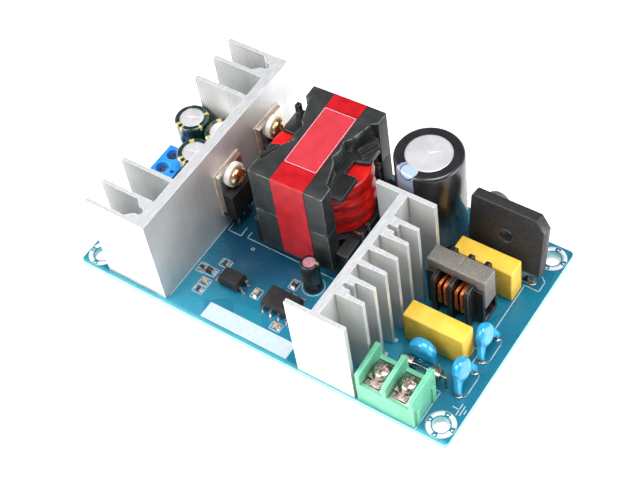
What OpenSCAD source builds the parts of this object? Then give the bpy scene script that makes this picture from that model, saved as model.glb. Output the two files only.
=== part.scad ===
// Open frame power supply: one printed board that carries a mains input side on the
// right, a transformer in the middle and a low-voltage output side on the left.
// The origin is the centre of the four corner holes, on the underside of the board.
// +X runs along the board towards the mains input, +Y to the back, +Z up.

/* [Board] */
// Length of the board
board_l = 116; // [112:0.5:130]
// Width of the board
board_w = 66.4; // [64.4:0.2:80]
// Thickness of the board
board_t = 1.6; // [1:0.1:2.4]
// Radius of the board's corners
board_corner_r = 1.2; // [0.5:0.1:3]
// Diameter of the four corner holes
mount_hole_d = 4.6; // [3.2:0.1:5]
// Corner hole centre to the short edge of the board
mount_inset_x = 4.2; // [3.6:0.1:5]
// Corner hole centre to the long edge of the board
mount_inset_y = 4.5; // [3.6:0.1:5]

/* [Solder side] */
// Length of every lead below the board
tail_l = 1.6; // [1.2:0.1:2.5]
// Height of a solder joint
joint_h = 1.1; // [0.6:0.1:1.2]
// Width of the solder around a lead
joint_w = 0.6; // [0.3:0.05:0.7]
// Clearance of a lead in its hole in the board
lead_clear = 0.15; // [0.05:0.05:0.25]

/* [Output heatsink] */
// Left edge of the board to the mounting face of the output heatsink
out_sink_face = 28.9; // [28.5:0.1:32]
// Length of the output heatsink across the board
out_sink_l = 65.2; // [60:0.2:66]
// Height of the output heatsink
out_sink_h = 30.6; // [26:0.2:40]
// Thickness of its base
out_sink_base = 2.9; // [2:0.1:3.6]
// Length of its fins
out_fin_l = 16.4; // [14:0.2:18]
// Thickness of its fins over the teeth
out_fin_t = 1.4; // [1.2:0.1:1.8]
// Depth of the teeth on the fins
out_tooth = 0.22; // [0.1:0.02:0.3]
// Number of teeth along a fin
out_teeth = 20; // [10:1:24]
// Gap between the first and second fin from each end
out_gap_outer = 5.7; // [5:0.1:6.4]
// Gap between the second and third fin from each end
out_gap_inner = 7; // [6:0.1:8]
// Length of the web beside the pin channel, along the fins
out_web_l = 4.6; // [3.6:0.1:6]
// Length of the web at the lips of the pin channel
out_lip_l = 2.3; // [1.8:0.1:3]
// Width of the pin channel
out_channel_w = 2.2; // [1.6:0.1:2.6]

/* [Primary heatsink] */
// Front edge of the board to the front of the primary heatsink
prim_sink_front = 0.3; // [0.1:0.1:1]
// Left face of its base, from the middle of the board
prim_sink_x = 21.4; // [20.5:0.1:22.5]
// Length of the primary heatsink across the board
prim_sink_l = 42.85; // [41.5:0.1:43.2]
// Height of the primary heatsink
prim_sink_h = 30.2; // [26:0.2:40]
// Thickness of its base
prim_sink_base = 2.2; // [1.6:0.1:2.6]
// Thickness of its two end plates
prim_plate_t = 1.3; // [1:0.05:1.6]
// Length of the end plates on the transistor's side of the base
prim_plate_in = 7.2; // [6:0.1:7.8]
// Length of the fins
prim_fin_l = 7.7; // [6:0.1:7.9]
// Thickness of the fins at the base
prim_fin_root = 1.5; // [1.2:0.05:1.8]
// Thickness of the fins at the tip
prim_fin_tip = 1; // [0.7:0.05:1.2]
// Number of fins between the end plates
prim_fins = 6; // [4:1:6]
// Spacing of the fins
prim_fin_pitch = 5.02; // [4.6:0.02:5.2]
// Front of the heatsink to the middle of the first fin
prim_first_fin = 8.85; // [8:0.05:9.4]
// Length of the thick jaws that form a pin channel
prim_jaw_l = 2.7; // [2.2:0.1:3.4]
// Width of the pin channel
prim_channel_w = 1.4; // [1.1:0.05:1.6]

/* [Power semiconductors] */
// Width of the tab and body
case_w = 10.2; // [9.6:0.1:10.6]
// Height of the moulded body
case_body_h = 9.2; // [8.4:0.1:9.6]
// Thickness of the moulded body
case_body_t = 4.5; // [4.2:0.1:4.8]
// Height of the bare part of the tab
tab_h = 6.4; // [6.2:0.1:6.8]
// Thickness of the tab
tab_t = 1.3; // [1:0.05:1.4]
// Diameter of the tab's hole
tab_hole_d = 3.8; // [3.6:0.05:4]
// Tab's top edge to the centre of its hole
tab_hole_drop = 2.8; // [2.6:0.1:2.9]
// Board to the top edge of the tabs
tab_top = 21.2; // [18:0.1:24]
// Spacing of the leads
case_lead_pitch = 2.54; // [2.2:0.02:2.8]
// Middle of the output heatsink to the middle of the front rectifier
front_rectifier_y = 0.4; // [-2:0.1:1]
// Spacing of the two rectifiers
rectifier_pitch = 19.1; // [15:0.1:22]
// Front of the primary heatsink to the middle of the transistor
transistor_y = 23; // [18:0.1:28]
// Thickness of the insulating pads
pad_t = 0.3; // [0.2:0.05:0.5]
// How far the pads reach past the case
pad_margin = 0.5; // [0.3:0.1:1.6]
// Diameter of the clamp screws' thread
screw_d = 2.9; // [2.4:0.1:3]
// Diameter of the clamp screws' heads
screw_head_d = 5.7; // [5:0.1:6]
// Height of the clamp screws' heads
screw_head_h = 2.1; // [1.6:0.1:2.6]
// Length of thread past the heatsink's base
screw_past = 1.2; // [0.4:0.1:2]
// Diameter of the shoulder washers
washer_d = 7; // [6.2:0.1:7.2]
// Thickness of the shoulder washers' flanges
washer_t = 1.6; // [1:0.1:2]

/* [Transformer] */
// Middle of the transformer from the middle of the board, along the board
transformer_x = -4.2; // [-5:0.1:-3.6]
// Middle of the transformer from the middle of the board, across it
transformer_y = 10.6; // [9.8:0.1:12]
// Turn of the transformer on the board, in degrees
transformer_turn = 2; // [0:0.5:2]
// Length of the core
core_l = 32.3; // [31:0.1:33]
// Width of the core
core_w = 22; // [21:0.1:22.6]
// Height of the two core halves together
core_h = 30.3; // [26:0.1:32]
// Thickness of a core plate
core_plate = 4.5; // [3.5:0.1:5.5]
// Width of the core plate at its waist
core_waist = 12.4; // [11:0.1:14]
// Diameter of the core's centre post
core_post_d = 13.4; // [12:0.1:14]
// Diameter of the round window between post and legs
core_window_d = 27.6; // [27:0.1:28]
// Board to the underside of the core
core_raise = 3.7; // [3:0.1:5]
// Wall of the bobbin's tube and flanges
bobbin_wall = 1.4; // [0.9:0.1:1.6]
// Half width of the bobbin's flanges, across the open sides
flange_reach = 13.3; // [12.6:0.1:13.8]
// Width of the pin rails
rail_w = 3.3; // [2.6:0.1:3.6]
// Length of the pin rails
rail_l = 28; // [27:0.1:30]
// Spacing of the transformer's pins
transformer_pin_pitch = 5.08; // [4.6:0.02:5.2]
// Diameter of the transformer's pins
transformer_pin_d = 0.8; // [0.6:0.05:1]
// Half width of the winding, where it swells out of the open sides
winding_reach = 14.6; // [13.8:0.1:15.2]
// Width of the tape around the core
tape_w = 9.8; // [8:0.1:11]
// Thickness of the tape
tape_t = 0.2; // [0.1:0.05:0.3]
// Offset of the tape from the middle of the core
tape_x = 0.6; // [0:0.1:0.6]
// Length of the label on the tape
label_l = 20; // [16:0.2:24]
// Thickness of the label
label_t = 0.12; // [0.08:0.02:0.2]

/* [Capacitors] */
// Diameter of the bulk capacitor
bulk_d = 18.4; // [16:0.1:19]
// Height of the bulk capacitor
bulk_h = 31.8; // [25:0.2:36]
// Bulk capacitor to the back edge of the board
bulk_back_gap = 1.8; // [1:0.1:2.4]
// Middle of the bulk capacitor, from the middle of the board
bulk_x = 21.8; // [21.4:0.1:22.4]
// Diameter of the output capacitors
out_cap_d = 9.8; // [9:0.1:10]
// Height of the output capacitors
out_cap_h = 19.6; // [16:0.2:24]
// Diameter of the small capacitor beside the transformer
aux_cap_d = 5.1; // [4:0.1:5.6]
// Height of the small capacitor
aux_cap_h = 11; // [8:0.2:13]
// Wall of the capacitors' plastic sleeves
sleeve_t = 0.2; // [0.1:0.05:0.3]
// Length of the box capacitors
x_cap_l = 17.4; // [16.6:0.1:18]
// Thickness of the box capacitors
x_cap_t = 5.4; // [4.6:0.1:5.5]
// Height of the front box capacitor
front_x_cap_h = 10.9; // [9:0.1:13]
// Height of the rear box capacitor
rear_x_cap_h = 11.5; // [9:0.1:14]
// Diameter of the disc capacitors
disc_cap_d = 6.4; // [5.6:0.1:7]
// Thickness of the disc capacitors
disc_cap_t = 2.8; // [2.4:0.1:3.2]
// Lead spacing of the disc capacitors
disc_cap_pitch = 7.8; // [7:0.1:8]
// Lean of the disc capacitors, in degrees
disc_cap_lean = 14; // [0:1:16]

/* [Mains parts] */
// Width of the bridge rectifier
bridge_w = 21.2; // [20:0.1:22]
// Height of the bridge rectifier's body
bridge_h = 18.8; // [16:0.1:20]
// Thickness of the bridge rectifier
bridge_t = 3.4; // [3:0.1:3.8]
// Board to the underside of the bridge rectifier
bridge_raise = 5.4; // [4:0.1:6.5]
// Lean of the bridge rectifier towards the back edge, in degrees
bridge_lean = 9.4; // [0:0.2:10]
// Spacing of the bridge rectifier's leads
bridge_pitch = 5.08; // [4.6:0.02:5.4]
// Diameter of the inrush limiter's disc
limiter_d = 7; // [6.4:0.1:8]
// Thickness of the inrush limiter
limiter_t = 3.6; // [3:0.1:4.2]
// Length of the choke's core
choke_l = 16.9; // [16.4:0.1:17.4]
// Height of the choke's core
choke_core_h = 11; // [10.4:0.1:11.6]
// Depth of the choke's core
choke_core_t = 5.1; // [4.4:0.1:5.4]
// Thickness of the core's bars
choke_bar = 3; // [2.6:0.1:3.2]
// Board to the underside of the choke's core
choke_raise = 6.4; // [5.8:0.1:7]
// Depth of the choke's flanges
choke_flange_w = 12.4; // [11.4:0.1:12.6]
// Thickness of the choke's flanges
choke_flange_t = 1.1; // [0.8:0.05:1.3]
// Diameter of the surge absorber's disc
varistor_d = 7.6; // [6.6:0.1:8.4]
// Thickness of the surge absorber
varistor_t = 3.2; // [2.6:0.1:3.4]
// Length of the fuse between its wire ends
fuse_l = 10.4; // [9.5:0.1:11]
// Diameter of the fuse's glass
fuse_d = 2.6; // [2.4:0.1:3]

/* [Terminals] */
// Spacing of the poles of the mains terminal
input_pitch = 7.62; // [7:0.02:7.8]
// Thickness of the mains terminal's walls
input_wall = 1.2; // [1:0.1:1.6]
// Depth of the mains terminal
input_depth = 10.6; // [10:0.1:10.8]
// Height of the mains terminal's floor
input_floor = 6.2; // [5:0.1:7]
// Height of the walls at the front
input_wall_front = 11.8; // [9:0.1:12.4]
// Height of the walls at their peak
input_wall_peak = 12.9; // [12.4:0.1:14]
// Diameter of the mains terminal's screw heads
input_head_d = 5.4; // [4.6:0.1:5.8]
// Spacing of the poles of the output terminal
output_pitch = 5.08; // [4.9:0.02:5.2]
// Depth of the output terminal
output_depth = 7.7; // [7.2:0.1:8]
// Height of the output terminal
output_h = 10; // [9.4:0.1:11]
// Width of a wire entry
output_entry_w = 3.4; // [2.8:0.1:3.6]

/* [Hidden] */

$fn = 48;
eps = 0.01;

// Edges of the board
edge_x = board_l / 2;
edge_y = board_w / 2;

// Output heatsink: mounting face, left face of the base, tips of the fins
out_face_x = -edge_x + out_sink_face;
out_back_x = out_face_x - out_sink_base;
out_mid_y = 0.45;
out_fin_offsets = [
    out_sink_l / 2 - out_fin_t / 2,
    out_sink_l / 2 - out_fin_t * 1.5 - out_gap_outer,
    out_sink_l / 2 - out_fin_t * 2.5 - out_gap_outer - out_gap_inner,
];
out_channel_y = out_sink_l / 2 - out_fin_t - out_gap_outer / 2;
out_channel_floor = 0.4;
out_pin_x = out_back_x - out_channel_w / 2 - out_channel_floor;
out_pin_up = 8;

// Primary heatsink
prim_front_y = -edge_y + prim_sink_front;
prim_back_y = prim_front_y + prim_sink_l;
prim_base_x = prim_sink_x + prim_sink_base;
prim_channel_fins = [0, prim_fins - 2];
prim_pin_x = prim_base_x + prim_channel_w / 2 + 0.2;

// Power semiconductors, measured from the face that they are clamped to
rectifier_y = out_mid_y + front_rectifier_y;
transistor_mid_y = prim_front_y + transistor_y;
lead_plane = tab_t + 0.85;
lead_t = 0.5;
lead_w = 0.8;
case_bottom = tab_top - tab_h - case_body_h;
screw_z = tab_top - tab_hole_drop;
frame_in_body = 3;
case_leads = [-case_lead_pitch, 0, case_lead_pitch];
rectifier_lead_x = out_face_x + pad_t + lead_plane + lead_t / 2;
transistor_lead_x = prim_sink_x - pad_t - lead_plane - lead_t / 2;

// Transformer
window_h = core_h - 2 * core_plate;
tube_d = core_post_d + 0.5 + 2 * bobbin_wall;
flange_low_z = core_raise + core_plate + 0.1;
flange_high_z = core_raise + core_h - core_plate - 0.1 - bobbin_wall;
flange_half_y = 10.9;
winding_h = flange_high_z - flange_low_z - bobbin_wall - 0.2;
rail_inner_x = core_w / 2 + 0.2;
rail_mid_x = rail_inner_x + rail_w / 2;
pins_per_rail = 6;
transformer_pin_up = 6;
transformer_pins_at = [
    for (side = [-1, 1], i = [0 : pins_per_rail - 1])
        [side * rail_mid_x, (i - (pins_per_rail - 1) / 2) * transformer_pin_pitch]
];
winding_swell_r = 10;
winding_lead_d = 0.9;
winding_lead_top = flange_low_z + bobbin_wall + 0.12 * winding_h;
winding_leads_at = [for (y = [-6.9, -3.6])
    [rail_inner_x + rail_w + winding_lead_d / 2 + 0.1, y]];

// Board's front edge to the mains terminal
input_front_gap = 0.4;

// Places of the capacitors
bulk_y = edge_y - bulk_back_gap - bulk_d / 2;
bulk_lead_pitch = 7.5;
bulk_lead_d = 1;
out_cap_r = out_cap_d / 2;
out_cap_right = [out_back_x - 1 - out_cap_r, out_mid_y + out_fin_offsets[2] - out_fin_t / 2
    - 0.1 - out_cap_r];
out_caps_at = [
    out_cap_right,
    out_cap_right + [-out_cap_d - 0.5, 0],
    out_cap_right + [-2.3, -out_cap_d + 0.2],
];
out_cap_lead_pitch = 5;
inductor_d = 7.4;
inductor_h = 17;
inductor_at = [out_back_x - 1.4 - inductor_d / 2,
    out_caps_at[2][1] - out_cap_r - inductor_d / 2 - 0.1];
inductor_lead_pitch = 4;
aux_cap_at = [transformer_x + 7.6, transformer_y - core_l / 2 - 3.95];
aux_lead_pitch = 2;
small_lead_d = 0.6;

// Mains parts, placed from the right and front edges of the board
choke_inset = 17.6;
front_x_cap_inset = 16.4;
rear_x_cap_inset = 15.45;
bridge_inset = 12.95;
limiter_inset = 19.8;
varistor_inset = 17;
choke_mid_x = edge_x - choke_inset;
choke_mid_y = -edge_y + 38.25;
x_cap_half = x_cap_t / 2;
front_x_cap_at = [edge_x - front_x_cap_inset, choke_mid_y - 13.9];
rear_x_cap_at = [edge_x - rear_x_cap_inset, choke_mid_y + 9.15];
x_cap_pitch = 15;
bridge_at = [edge_x - bridge_inset, rear_x_cap_at[1] + x_cap_half + 1 + bridge_t / 2];
bridge_lead = [1, 0.6];
bridge_bore_d = 4;
limiter_at = [edge_x - limiter_inset, bridge_at[1] + 7.9];
limiter_mid_z = 15.6;
limiter_pitch = 5;
limiter_foot_z = limiter_mid_z - limiter_d * 0.58;
varistor_at = [edge_x - varistor_inset, front_x_cap_at[1] - x_cap_half - 3.95];
varistor_mid_z = 6;
varistor_pitch = 5.8;
disc_cap_x = edge_x - 4.6;
disc_caps_y = [-edge_y + 17.7, -edge_y + 29.2];
disc_cap_mid_z = 6.3;
disc_foot_z = 1;
wire_in_foot = 1.2;
fuse_cap_wall = 0.2;
fuse_inset = 15;
fuse_gap = 1.75;
fuse_at = [edge_x - fuse_inset, -edge_y + input_front_gap + input_depth + fuse_gap
    + fuse_cap_wall + fuse_d / 2];
fuse_z = 4.4;
fuse_cap_l = 2.6;
fuse_lead_pitch = fuse_l + 2.6;
wire_d = 0.7;

// Choke: bar height, flanges and pins
choke_bar_z = choke_raise + choke_bar / 2;
choke_window = choke_l - 2 * choke_bar;
choke_flange_h = choke_raise + choke_core_h - choke_bar + 0.6;
choke_flanges = [-1, 0, 1];
choke_flange_x = choke_window / 2 - choke_flange_t / 2 - 0.05;
choke_cheek_t = 0.65;
choke_base_w = choke_core_t + 2 * choke_cheek_t + 0.2;
choke_tube_wall = 0.7;
choke_base_t = 1.2;
choke_pin_at = [choke_l / 2 - 1.6, choke_core_t / 2 - 0.4];
choke_winding_t = 2.1;

// Mains terminal
input_poles = 2;
input_w = input_poles * input_pitch + input_wall;
input_inset = 17.5;
input_mid_x = edge_x - input_inset;
input_front_y = -edge_y + input_front_gap;
input_back_y = input_front_y + input_depth;
input_screw_y = input_front_y + input_depth * 0.54;
input_back_wall = 1.2;
input_back_h = 7.3;
input_lip = [0.9, 7.5];
input_key = [0.5, 1.2, 6.6];
input_poles_x = [for (i = [0 : input_poles - 1]) input_mid_x + (i - (input_poles - 1) / 2)
    * input_pitch];
input_contact_t = 0.8;
input_contact_w = input_pitch - input_wall - 0.4;
input_clamp_t = 0.8;
input_head_h = 2.3;
input_screw_d = 3.2;
input_screw_l = 4;
input_pin = [1.1, 0.8];
input_pin_y = input_back_y - input_back_wall - 1.6;

// Output terminal
output_poles = 2;
output_w = output_poles * output_pitch + 0.2;
output_left_x = -edge_x + 3.9;
output_mid_y = out_mid_y + 0.55;
output_poles_y = [for (i = [0 : output_poles - 1]) output_mid_y + (i - (output_poles - 1) / 2)
    * output_pitch];
output_screw_x = output_left_x + 2.9;
output_floor = 1.2;
output_cage = [4.2, 3.7, 4.8];
output_cage_wall = 0.6;
output_screw_d = 2.4;
output_head_d = 3.5;
output_head_h = 1.6;
output_pin = 0.9;

// Control parts
ic_from_front = 14.2;
ic_at = [-0.05, -edge_y + ic_from_front];
ic_size = [9.8, 6.4, 3.3];
opto_at = [-16, -edge_y + 14];
opto_size = [6.5, 4.6, 3.3];
ic_raise = 0.4;
surface_pitch = 2.54;
surface_lead_w = 0.7;
surface_lead_t = 0.28;
surface_foot = 1.1;
surface_exit_z = 1.9;
chip_resistor = [2, 1.25, 0.6];
chip_capacitor = [2, 1.25, 1];
chip_transistor = [2.9, 1.4, 1];
// Each chip part: x, y, turn, size
chips = [
    [-8.6, ic_at[1] + 0.1, 90, chip_capacitor],
    [1.9, ic_at[1] - 6, 0, chip_capacitor],
    [-23.2, opto_at[1] - 3.3, 0, chip_capacitor],
    [-24, opto_at[1] + 0.3, 0, chip_transistor],
    [-26.6, opto_at[1] + 0.2, 90, chip_resistor],
    [-21.7, opto_at[1] + 4.4, 0, chip_resistor],
    [-23.2, opto_at[1] - 6, 0, chip_resistor],
    [-1.3, ic_at[1] + 7.4, 90, chip_resistor],
    [edge_x - 7.1, bridge_at[1] + 0.3, 0, chip_resistor],
];

// Position of a point of the turned transformer on the board
function on_transformer(p) = [
    transformer_x + p[0] * cos(transformer_turn) - p[1] * sin(transformer_turn),
    transformer_y + p[0] * sin(transformer_turn) + p[1] * cos(transformer_turn),
];

// Just outside the winding's swollen side, for a wire that runs in at y
function winding_edge_x(y) = winding_reach - winding_swell_r
    + sqrt(pow(winding_swell_r, 2) - pow(abs(y) - winding_lead_d / 2, 2)) + 0.05;

// Every round lead that passes through the board: x, y, diameter
round_leads = concat(
    [for (s = [-1, 1]) [out_pin_x, out_mid_y + s * out_channel_y, out_channel_w]],
    [for (i = prim_channel_fins) [prim_pin_x, prim_channel_y(i), prim_channel_w]],
    [for (p = transformer_pins_at) concat(on_transformer(p), [transformer_pin_d])],
    [for (p = winding_leads_at) concat(on_transformer(p), [winding_lead_d])],
    [for (s = [-1, 1]) [bulk_x + s * bulk_lead_pitch / 2, bulk_y, bulk_lead_d]],
    [for (c = out_caps_at, s = [-1, 1]) [c[0], c[1] + s * out_cap_lead_pitch / 2, small_lead_d]],
    [for (s = [-1, 1]) [aux_cap_at[0] + s * aux_lead_pitch / 2, aux_cap_at[1], small_lead_d]],
    [for (s = [-1, 1])
        [inductor_at[0], inductor_at[1] + s * inductor_lead_pitch / 2, small_lead_d]],
    wire_lead_places()
);

// Every flat lead that passes through the board: x, y, size in x, size in y
flat_leads = concat(
    [for (y = [rectifier_y, rectifier_y + rectifier_pitch], d = case_leads)
        [rectifier_lead_x, y + d, lead_t, lead_w]],
    [for (d = case_leads) [transistor_lead_x, transistor_mid_y + d, lead_t, lead_w]],
    [for (i = [-1.5 : 1.5])
        [bridge_at[0] + i * bridge_pitch, bridge_at[1], bridge_lead[0], bridge_lead[1]]],
    [for (sx = [-1, 1], sy = [-1, 1])
        [choke_mid_x + sx * choke_pin_at[0], choke_mid_y + sy * choke_pin_at[1], wire_d, wire_d]],
    [for (x = input_poles_x) [x, input_pin_y, input_pin[0], input_pin[1]]],
    [for (y = output_poles_y) [output_screw_x, y, output_pin, output_pin]]
);

function prim_fin_y(i) = prim_front_y + prim_first_fin + i * prim_fin_pitch;
function prim_channel_y(i) = (prim_fin_y(i) + prim_fin_y(i + 1)) / 2;

// Wires of the box, disc and axial parts: x, y, diameter, height at which they end
function wire_lead_ends() = concat(
    [for (c = [front_x_cap_at, rear_x_cap_at], s = [-1, 1])
        [c[0] + s * x_cap_pitch / 2, c[1], wire_d, 0]],
    [for (s = [-1, 1]) [limiter_at[0] + s * limiter_pitch / 2, limiter_at[1], wire_d,
        limiter_foot_z + wire_in_foot]],
    [for (s = [-1, 1]) [varistor_at[0] + s * varistor_pitch / 2, varistor_at[1], wire_d,
        disc_foot_z + wire_in_foot]],
    [for (y = disc_caps_y, s = [-1, 1])
        [disc_cap_x, y + s * disc_cap_pitch / 2, wire_d, disc_foot_z + wire_in_foot]]
);
function wire_lead_places() = concat(
    [for (w = wire_lead_ends()) [w[0], w[1], w[2]]],
    [for (s = [-1, 1]) [fuse_at[0] + s * fuse_lead_pitch / 2, fuse_at[1], wire_d]]
);

// ---- shared shapes -------------------------------------------------------------------

// Lifts its children from the board's top face
module on_board() translate([0, 0, board_t]) children();

// A round wire from its tail under the board up to a height above it
module wire(x, y, d, top)
    translate([x, y, -board_t - tail_l]) cylinder(h = board_t + tail_l + top, d = d, $fn = 20);

// A flat lead from its tail under the board up to a height above it
module flat_lead(x, y, w, t, top)
    translate([x - w / 2, y - t / 2, -board_t - tail_l]) cube([w, t, board_t + tail_l + top]);

// A rectangle with true round corners, centred on the origin
module round_rect(w, h, r) {
    square([w - 2 * r, h], center = true);
    square([w, h - 2 * r], center = true);
    for (x = [-1, 1], y = [-1, 1]) translate([x * (w / 2 - r), y * (h / 2 - r)]) circle(r);
}

// A cross recess that is cut into a screw head, pointing down from its top
module cross_recess(w, depth)
    for (a = [0, 90]) rotate(a) translate([-w / 2, -w / 8, -depth]) cube([w, w / 4, depth + 1]);

// A pan head with a cross recess and its thread below, head down to the origin
module pan_screw(head_d, head_h, thread_d, thread_l) {
    difference() {
        rotate_extrude() polygon(concat([[0, 0], [head_d / 2, 0], [head_d / 2, head_h * 0.35]],
            [for (a = [25 : 20 : 85]) [head_d / 2 * cos(a), head_h * (0.35 + 0.65 * sin(a))]],
            [[0, head_h]]));
        translate([0, 0, head_h]) cross_recess(head_d * 0.62, head_h * 0.45);
    }
    translate([0, 0, -thread_l]) cylinder(h = thread_l, d = thread_d);
}

// Side line of a can from its foot to its rounded rim, grown outwards by a sleeve
function can_side(r, h, grow, rim) = concat(
    [[r + grow, 0], [r + grow, 2.2], [r + grow - 0.5, 2.8], [r + grow, 3.4]],
    [for (a = [0 : 22.5 : 90])
        [r - rim + (rim + grow) * cos(a), h - rim + (rim + grow) * sin(a)]]
);

// Aluminium can of a capacitor
module can(d, h, rim)
    rotate_extrude() polygon(concat([[0, 0]],
        can_side(d / 2 - sleeve_t, h - sleeve_t, 0, rim), [[0, h - sleeve_t]]));

// Plastic sleeve around a can, with a round eye that leaves the can's top bare
module sleeve(d, h, rim, eye_r)
    let (r = d / 2 - sleeve_t, hc = h - sleeve_t, inner = can_side(r, hc, 0, rim),
        n = len(inner))
    rotate_extrude() polygon(concat(can_side(r, hc, sleeve_t, rim),
        [[eye_r, hc + sleeve_t], [eye_r, hc]], [for (i = [n - 1 : -1 : 0]) inner[i]]));

// ---- board -----------------------------------------------------------------------------

module circuit_board() color("teal") difference() {
    linear_extrude(board_t) difference() {
        round_rect(board_l, board_w, board_corner_r);
        for (x = [-1, 1], y = [-1, 1])
            translate([x * (edge_x - mount_inset_x), y * (edge_y - mount_inset_y)])
                circle(d = mount_hole_d);
    }
    for (p = round_leads) translate([p[0], p[1], -1])
        cylinder(h = board_t + 2, d = p[2] + lead_clear, $fn = 20);
    for (p = flat_leads) translate([p[0], p[1], -1])
        cylinder(h = board_t + 2, d = norm([p[2], p[3]]) + lead_clear, $fn = 20);
}

module solder_cone(d) mirror([0, 0, 1])
    cylinder(h = joint_h, d1 = d + 2 * joint_w, d2 = d + joint_w / 2, $fn = 20);

module solder_joints() color("silver") {
    for (p = round_leads) translate([p[0], p[1], 0]) difference() {
        solder_cone(p[2]);
        translate([0, 0, -tail_l]) cylinder(h = tail_l + 1, d = p[2], $fn = 20);
    }
    for (p = flat_leads) translate([p[0], p[1], 0]) difference() {
        solder_cone(norm([p[2], p[3]]));
        translate([-p[2] / 2, -p[3] / 2, -tail_l]) cube([p[2], p[3], tail_l + 1]);
    }
}

// ---- heatsinks -------------------------------------------------------------------------

// A fin with toothed sides that points along -X from the origin
module toothed_fin() {
    step = out_fin_l / out_teeth / 2;
    polygon(concat([[1, out_fin_t / 2]],
        [for (i = [0 : 2 * out_teeth]) [-i * step, out_fin_t / 2 - (i % 2) * out_tooth]],
        [for (i = [2 * out_teeth : -1 : 0]) [-i * step, -out_fin_t / 2 + (i % 2) * out_tooth]],
        [[1, -out_fin_t / 2]]));
}

// Web between the outer fins, cut back in a funnel towards the pin channel
module pin_web() {
    half = out_gap_outer / 2 + 0.4;
    lip = out_channel_w / 2;
    polygon([
        [1, -half], [-out_web_l, -half], [-out_lip_l, -lip], [-out_lip_l, lip],
        [-out_web_l, half], [1, half],
    ]);
}

module output_heatsink_section() difference() {
    union() {
        translate([out_back_x, -out_sink_l / 2]) square([out_sink_base, out_sink_l]);
        for (s = [-1, 1], o = out_fin_offsets) translate([out_back_x, s * o]) toothed_fin();
        for (s = [-1, 1]) translate([out_back_x, s * out_channel_y]) pin_web();
    }
    for (s = [-1, 1]) translate([out_pin_x, s * out_channel_y]) {
        circle(d = out_channel_w);
        translate([-out_web_l, -out_channel_w / 2]) square([out_web_l, out_channel_w]);
    }
}

module output_heatsink() color("gainsboro") on_board() translate([0, out_mid_y, 0])
    difference() {
        union() {
            linear_extrude(out_sink_h) output_heatsink_section();
            // Roots of the channel webs in the base
            for (s = [-1, 1]) translate([out_back_x - out_channel_floor * 0.75,
                s * out_channel_y - out_gap_outer / 2, 0])
                    cube([out_channel_floor * 1.5, out_gap_outer, out_sink_h]);
        }
        for (y = [front_rectifier_y, front_rectifier_y + rectifier_pitch])
            translate([out_back_x - 1, y, screw_z]) rotate([0, 90, 0])
                cylinder(h = out_sink_base + 2, d = screw_d + 0.1);
    }

// A tapered fin that points along +X from the base
module tapered_fin() polygon([
    [-1, -prim_fin_root / 2], [0, -prim_fin_root / 2], [prim_fin_l, -prim_fin_tip / 2],
    [prim_fin_l, prim_fin_tip / 2], [0, prim_fin_root / 2], [-1, prim_fin_root / 2],
]);

module primary_heatsink_section() difference() {
    plate_l = prim_plate_in + prim_sink_base + prim_fin_l;
    union() {
        translate([prim_sink_x, prim_front_y]) square([prim_sink_base, prim_sink_l]);
        for (y = [prim_front_y, prim_back_y - prim_plate_t])
            translate([prim_sink_x - prim_plate_in, y]) square([plate_l, prim_plate_t]);
        for (i = [0 : prim_fins - 1]) translate([prim_base_x, prim_fin_y(i)]) tapered_fin();
        for (i = prim_channel_fins) translate([prim_base_x - eps, prim_fin_y(i)])
            square([prim_jaw_l, prim_fin_pitch]);
    }
    for (i = prim_channel_fins) translate([prim_pin_x, prim_channel_y(i)]) {
        circle(d = prim_channel_w);
        translate([0, -prim_channel_w / 2]) square([prim_jaw_l + 1, prim_channel_w]);
    }
}

module primary_heatsink() color("lightgray") on_board() difference() {
    linear_extrude(prim_sink_h) primary_heatsink_section();
    translate([prim_sink_x - 1, transistor_mid_y, screw_z]) rotate([0, 90, 0])
        cylinder(h = 1 + prim_sink_base + screw_past + 0.3, d = screw_d + 0.1);
}

module heatsink_pins() color("silver") on_board() {
    for (s = [-1, 1])
        wire(out_pin_x, out_mid_y + s * out_channel_y, out_channel_w, out_pin_up);
    for (i = prim_channel_fins)
        wire(prim_pin_x, prim_channel_y(i), prim_channel_w, out_pin_up);
}

// ---- clamped power semiconductors --------------------------------------------------------

// Places its children on the mounting face, facing away from the heatsink
module at_rectifier(i)
    translate([out_face_x + pad_t, rectifier_y + i * rectifier_pitch, board_t]) children();
module at_transistor()
    translate([prim_sink_x - pad_t, transistor_mid_y, board_t]) rotate(180) children();
module at_cases() {
    for (i = [0, 1]) at_rectifier(i) children();
    at_transistor() children();
}

// Metal tab with its centre lead, and the two outer leads
module case_frame() {
    difference() {
        translate([0, -case_w / 2, case_bottom + 1])
            cube([tab_t, case_w, tab_h + case_body_h - 1]);
        translate([-1, 0, screw_z]) rotate([0, 90, 0]) cylinder(h = tab_t + 2, d = tab_hole_d);
    }
    translate([tab_t - eps, -lead_w / 2, case_bottom + frame_in_body - 1])
        cube([lead_plane - tab_t + 2 * eps, lead_w, 1]);
    for (y = case_leads) {
        translate([lead_plane, y - lead_w / 2, -board_t - tail_l])
            cube([lead_t, lead_w, board_t + tail_l + case_bottom + frame_in_body]);
        translate([lead_plane, y - lead_w * 0.8, case_bottom - 2.8])
            cube([lead_t, lead_w * 1.6, 2.8]);
    }
}

module case_body() difference() {
    translate([0, -case_w / 2, case_bottom]) cube([case_body_t, case_w, case_body_h]);
    case_frame();
    translate([-1, -case_w / 2 - 1, case_bottom + 1]) cube([tab_t + 1, case_w + 2, case_body_h]);
}

module front_rectifier_body() color("#262626") at_rectifier(0) case_body();
module rear_rectifier_body() color("#262626") at_rectifier(1) case_body();
module transistor_body() color("#262626") at_transistor() case_body();
module front_rectifier_frame() color("silver") at_rectifier(0) case_frame();
module rear_rectifier_frame() color("silver") at_rectifier(1) case_frame();
module transistor_frame() color("silver") at_transistor() case_frame();

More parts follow.
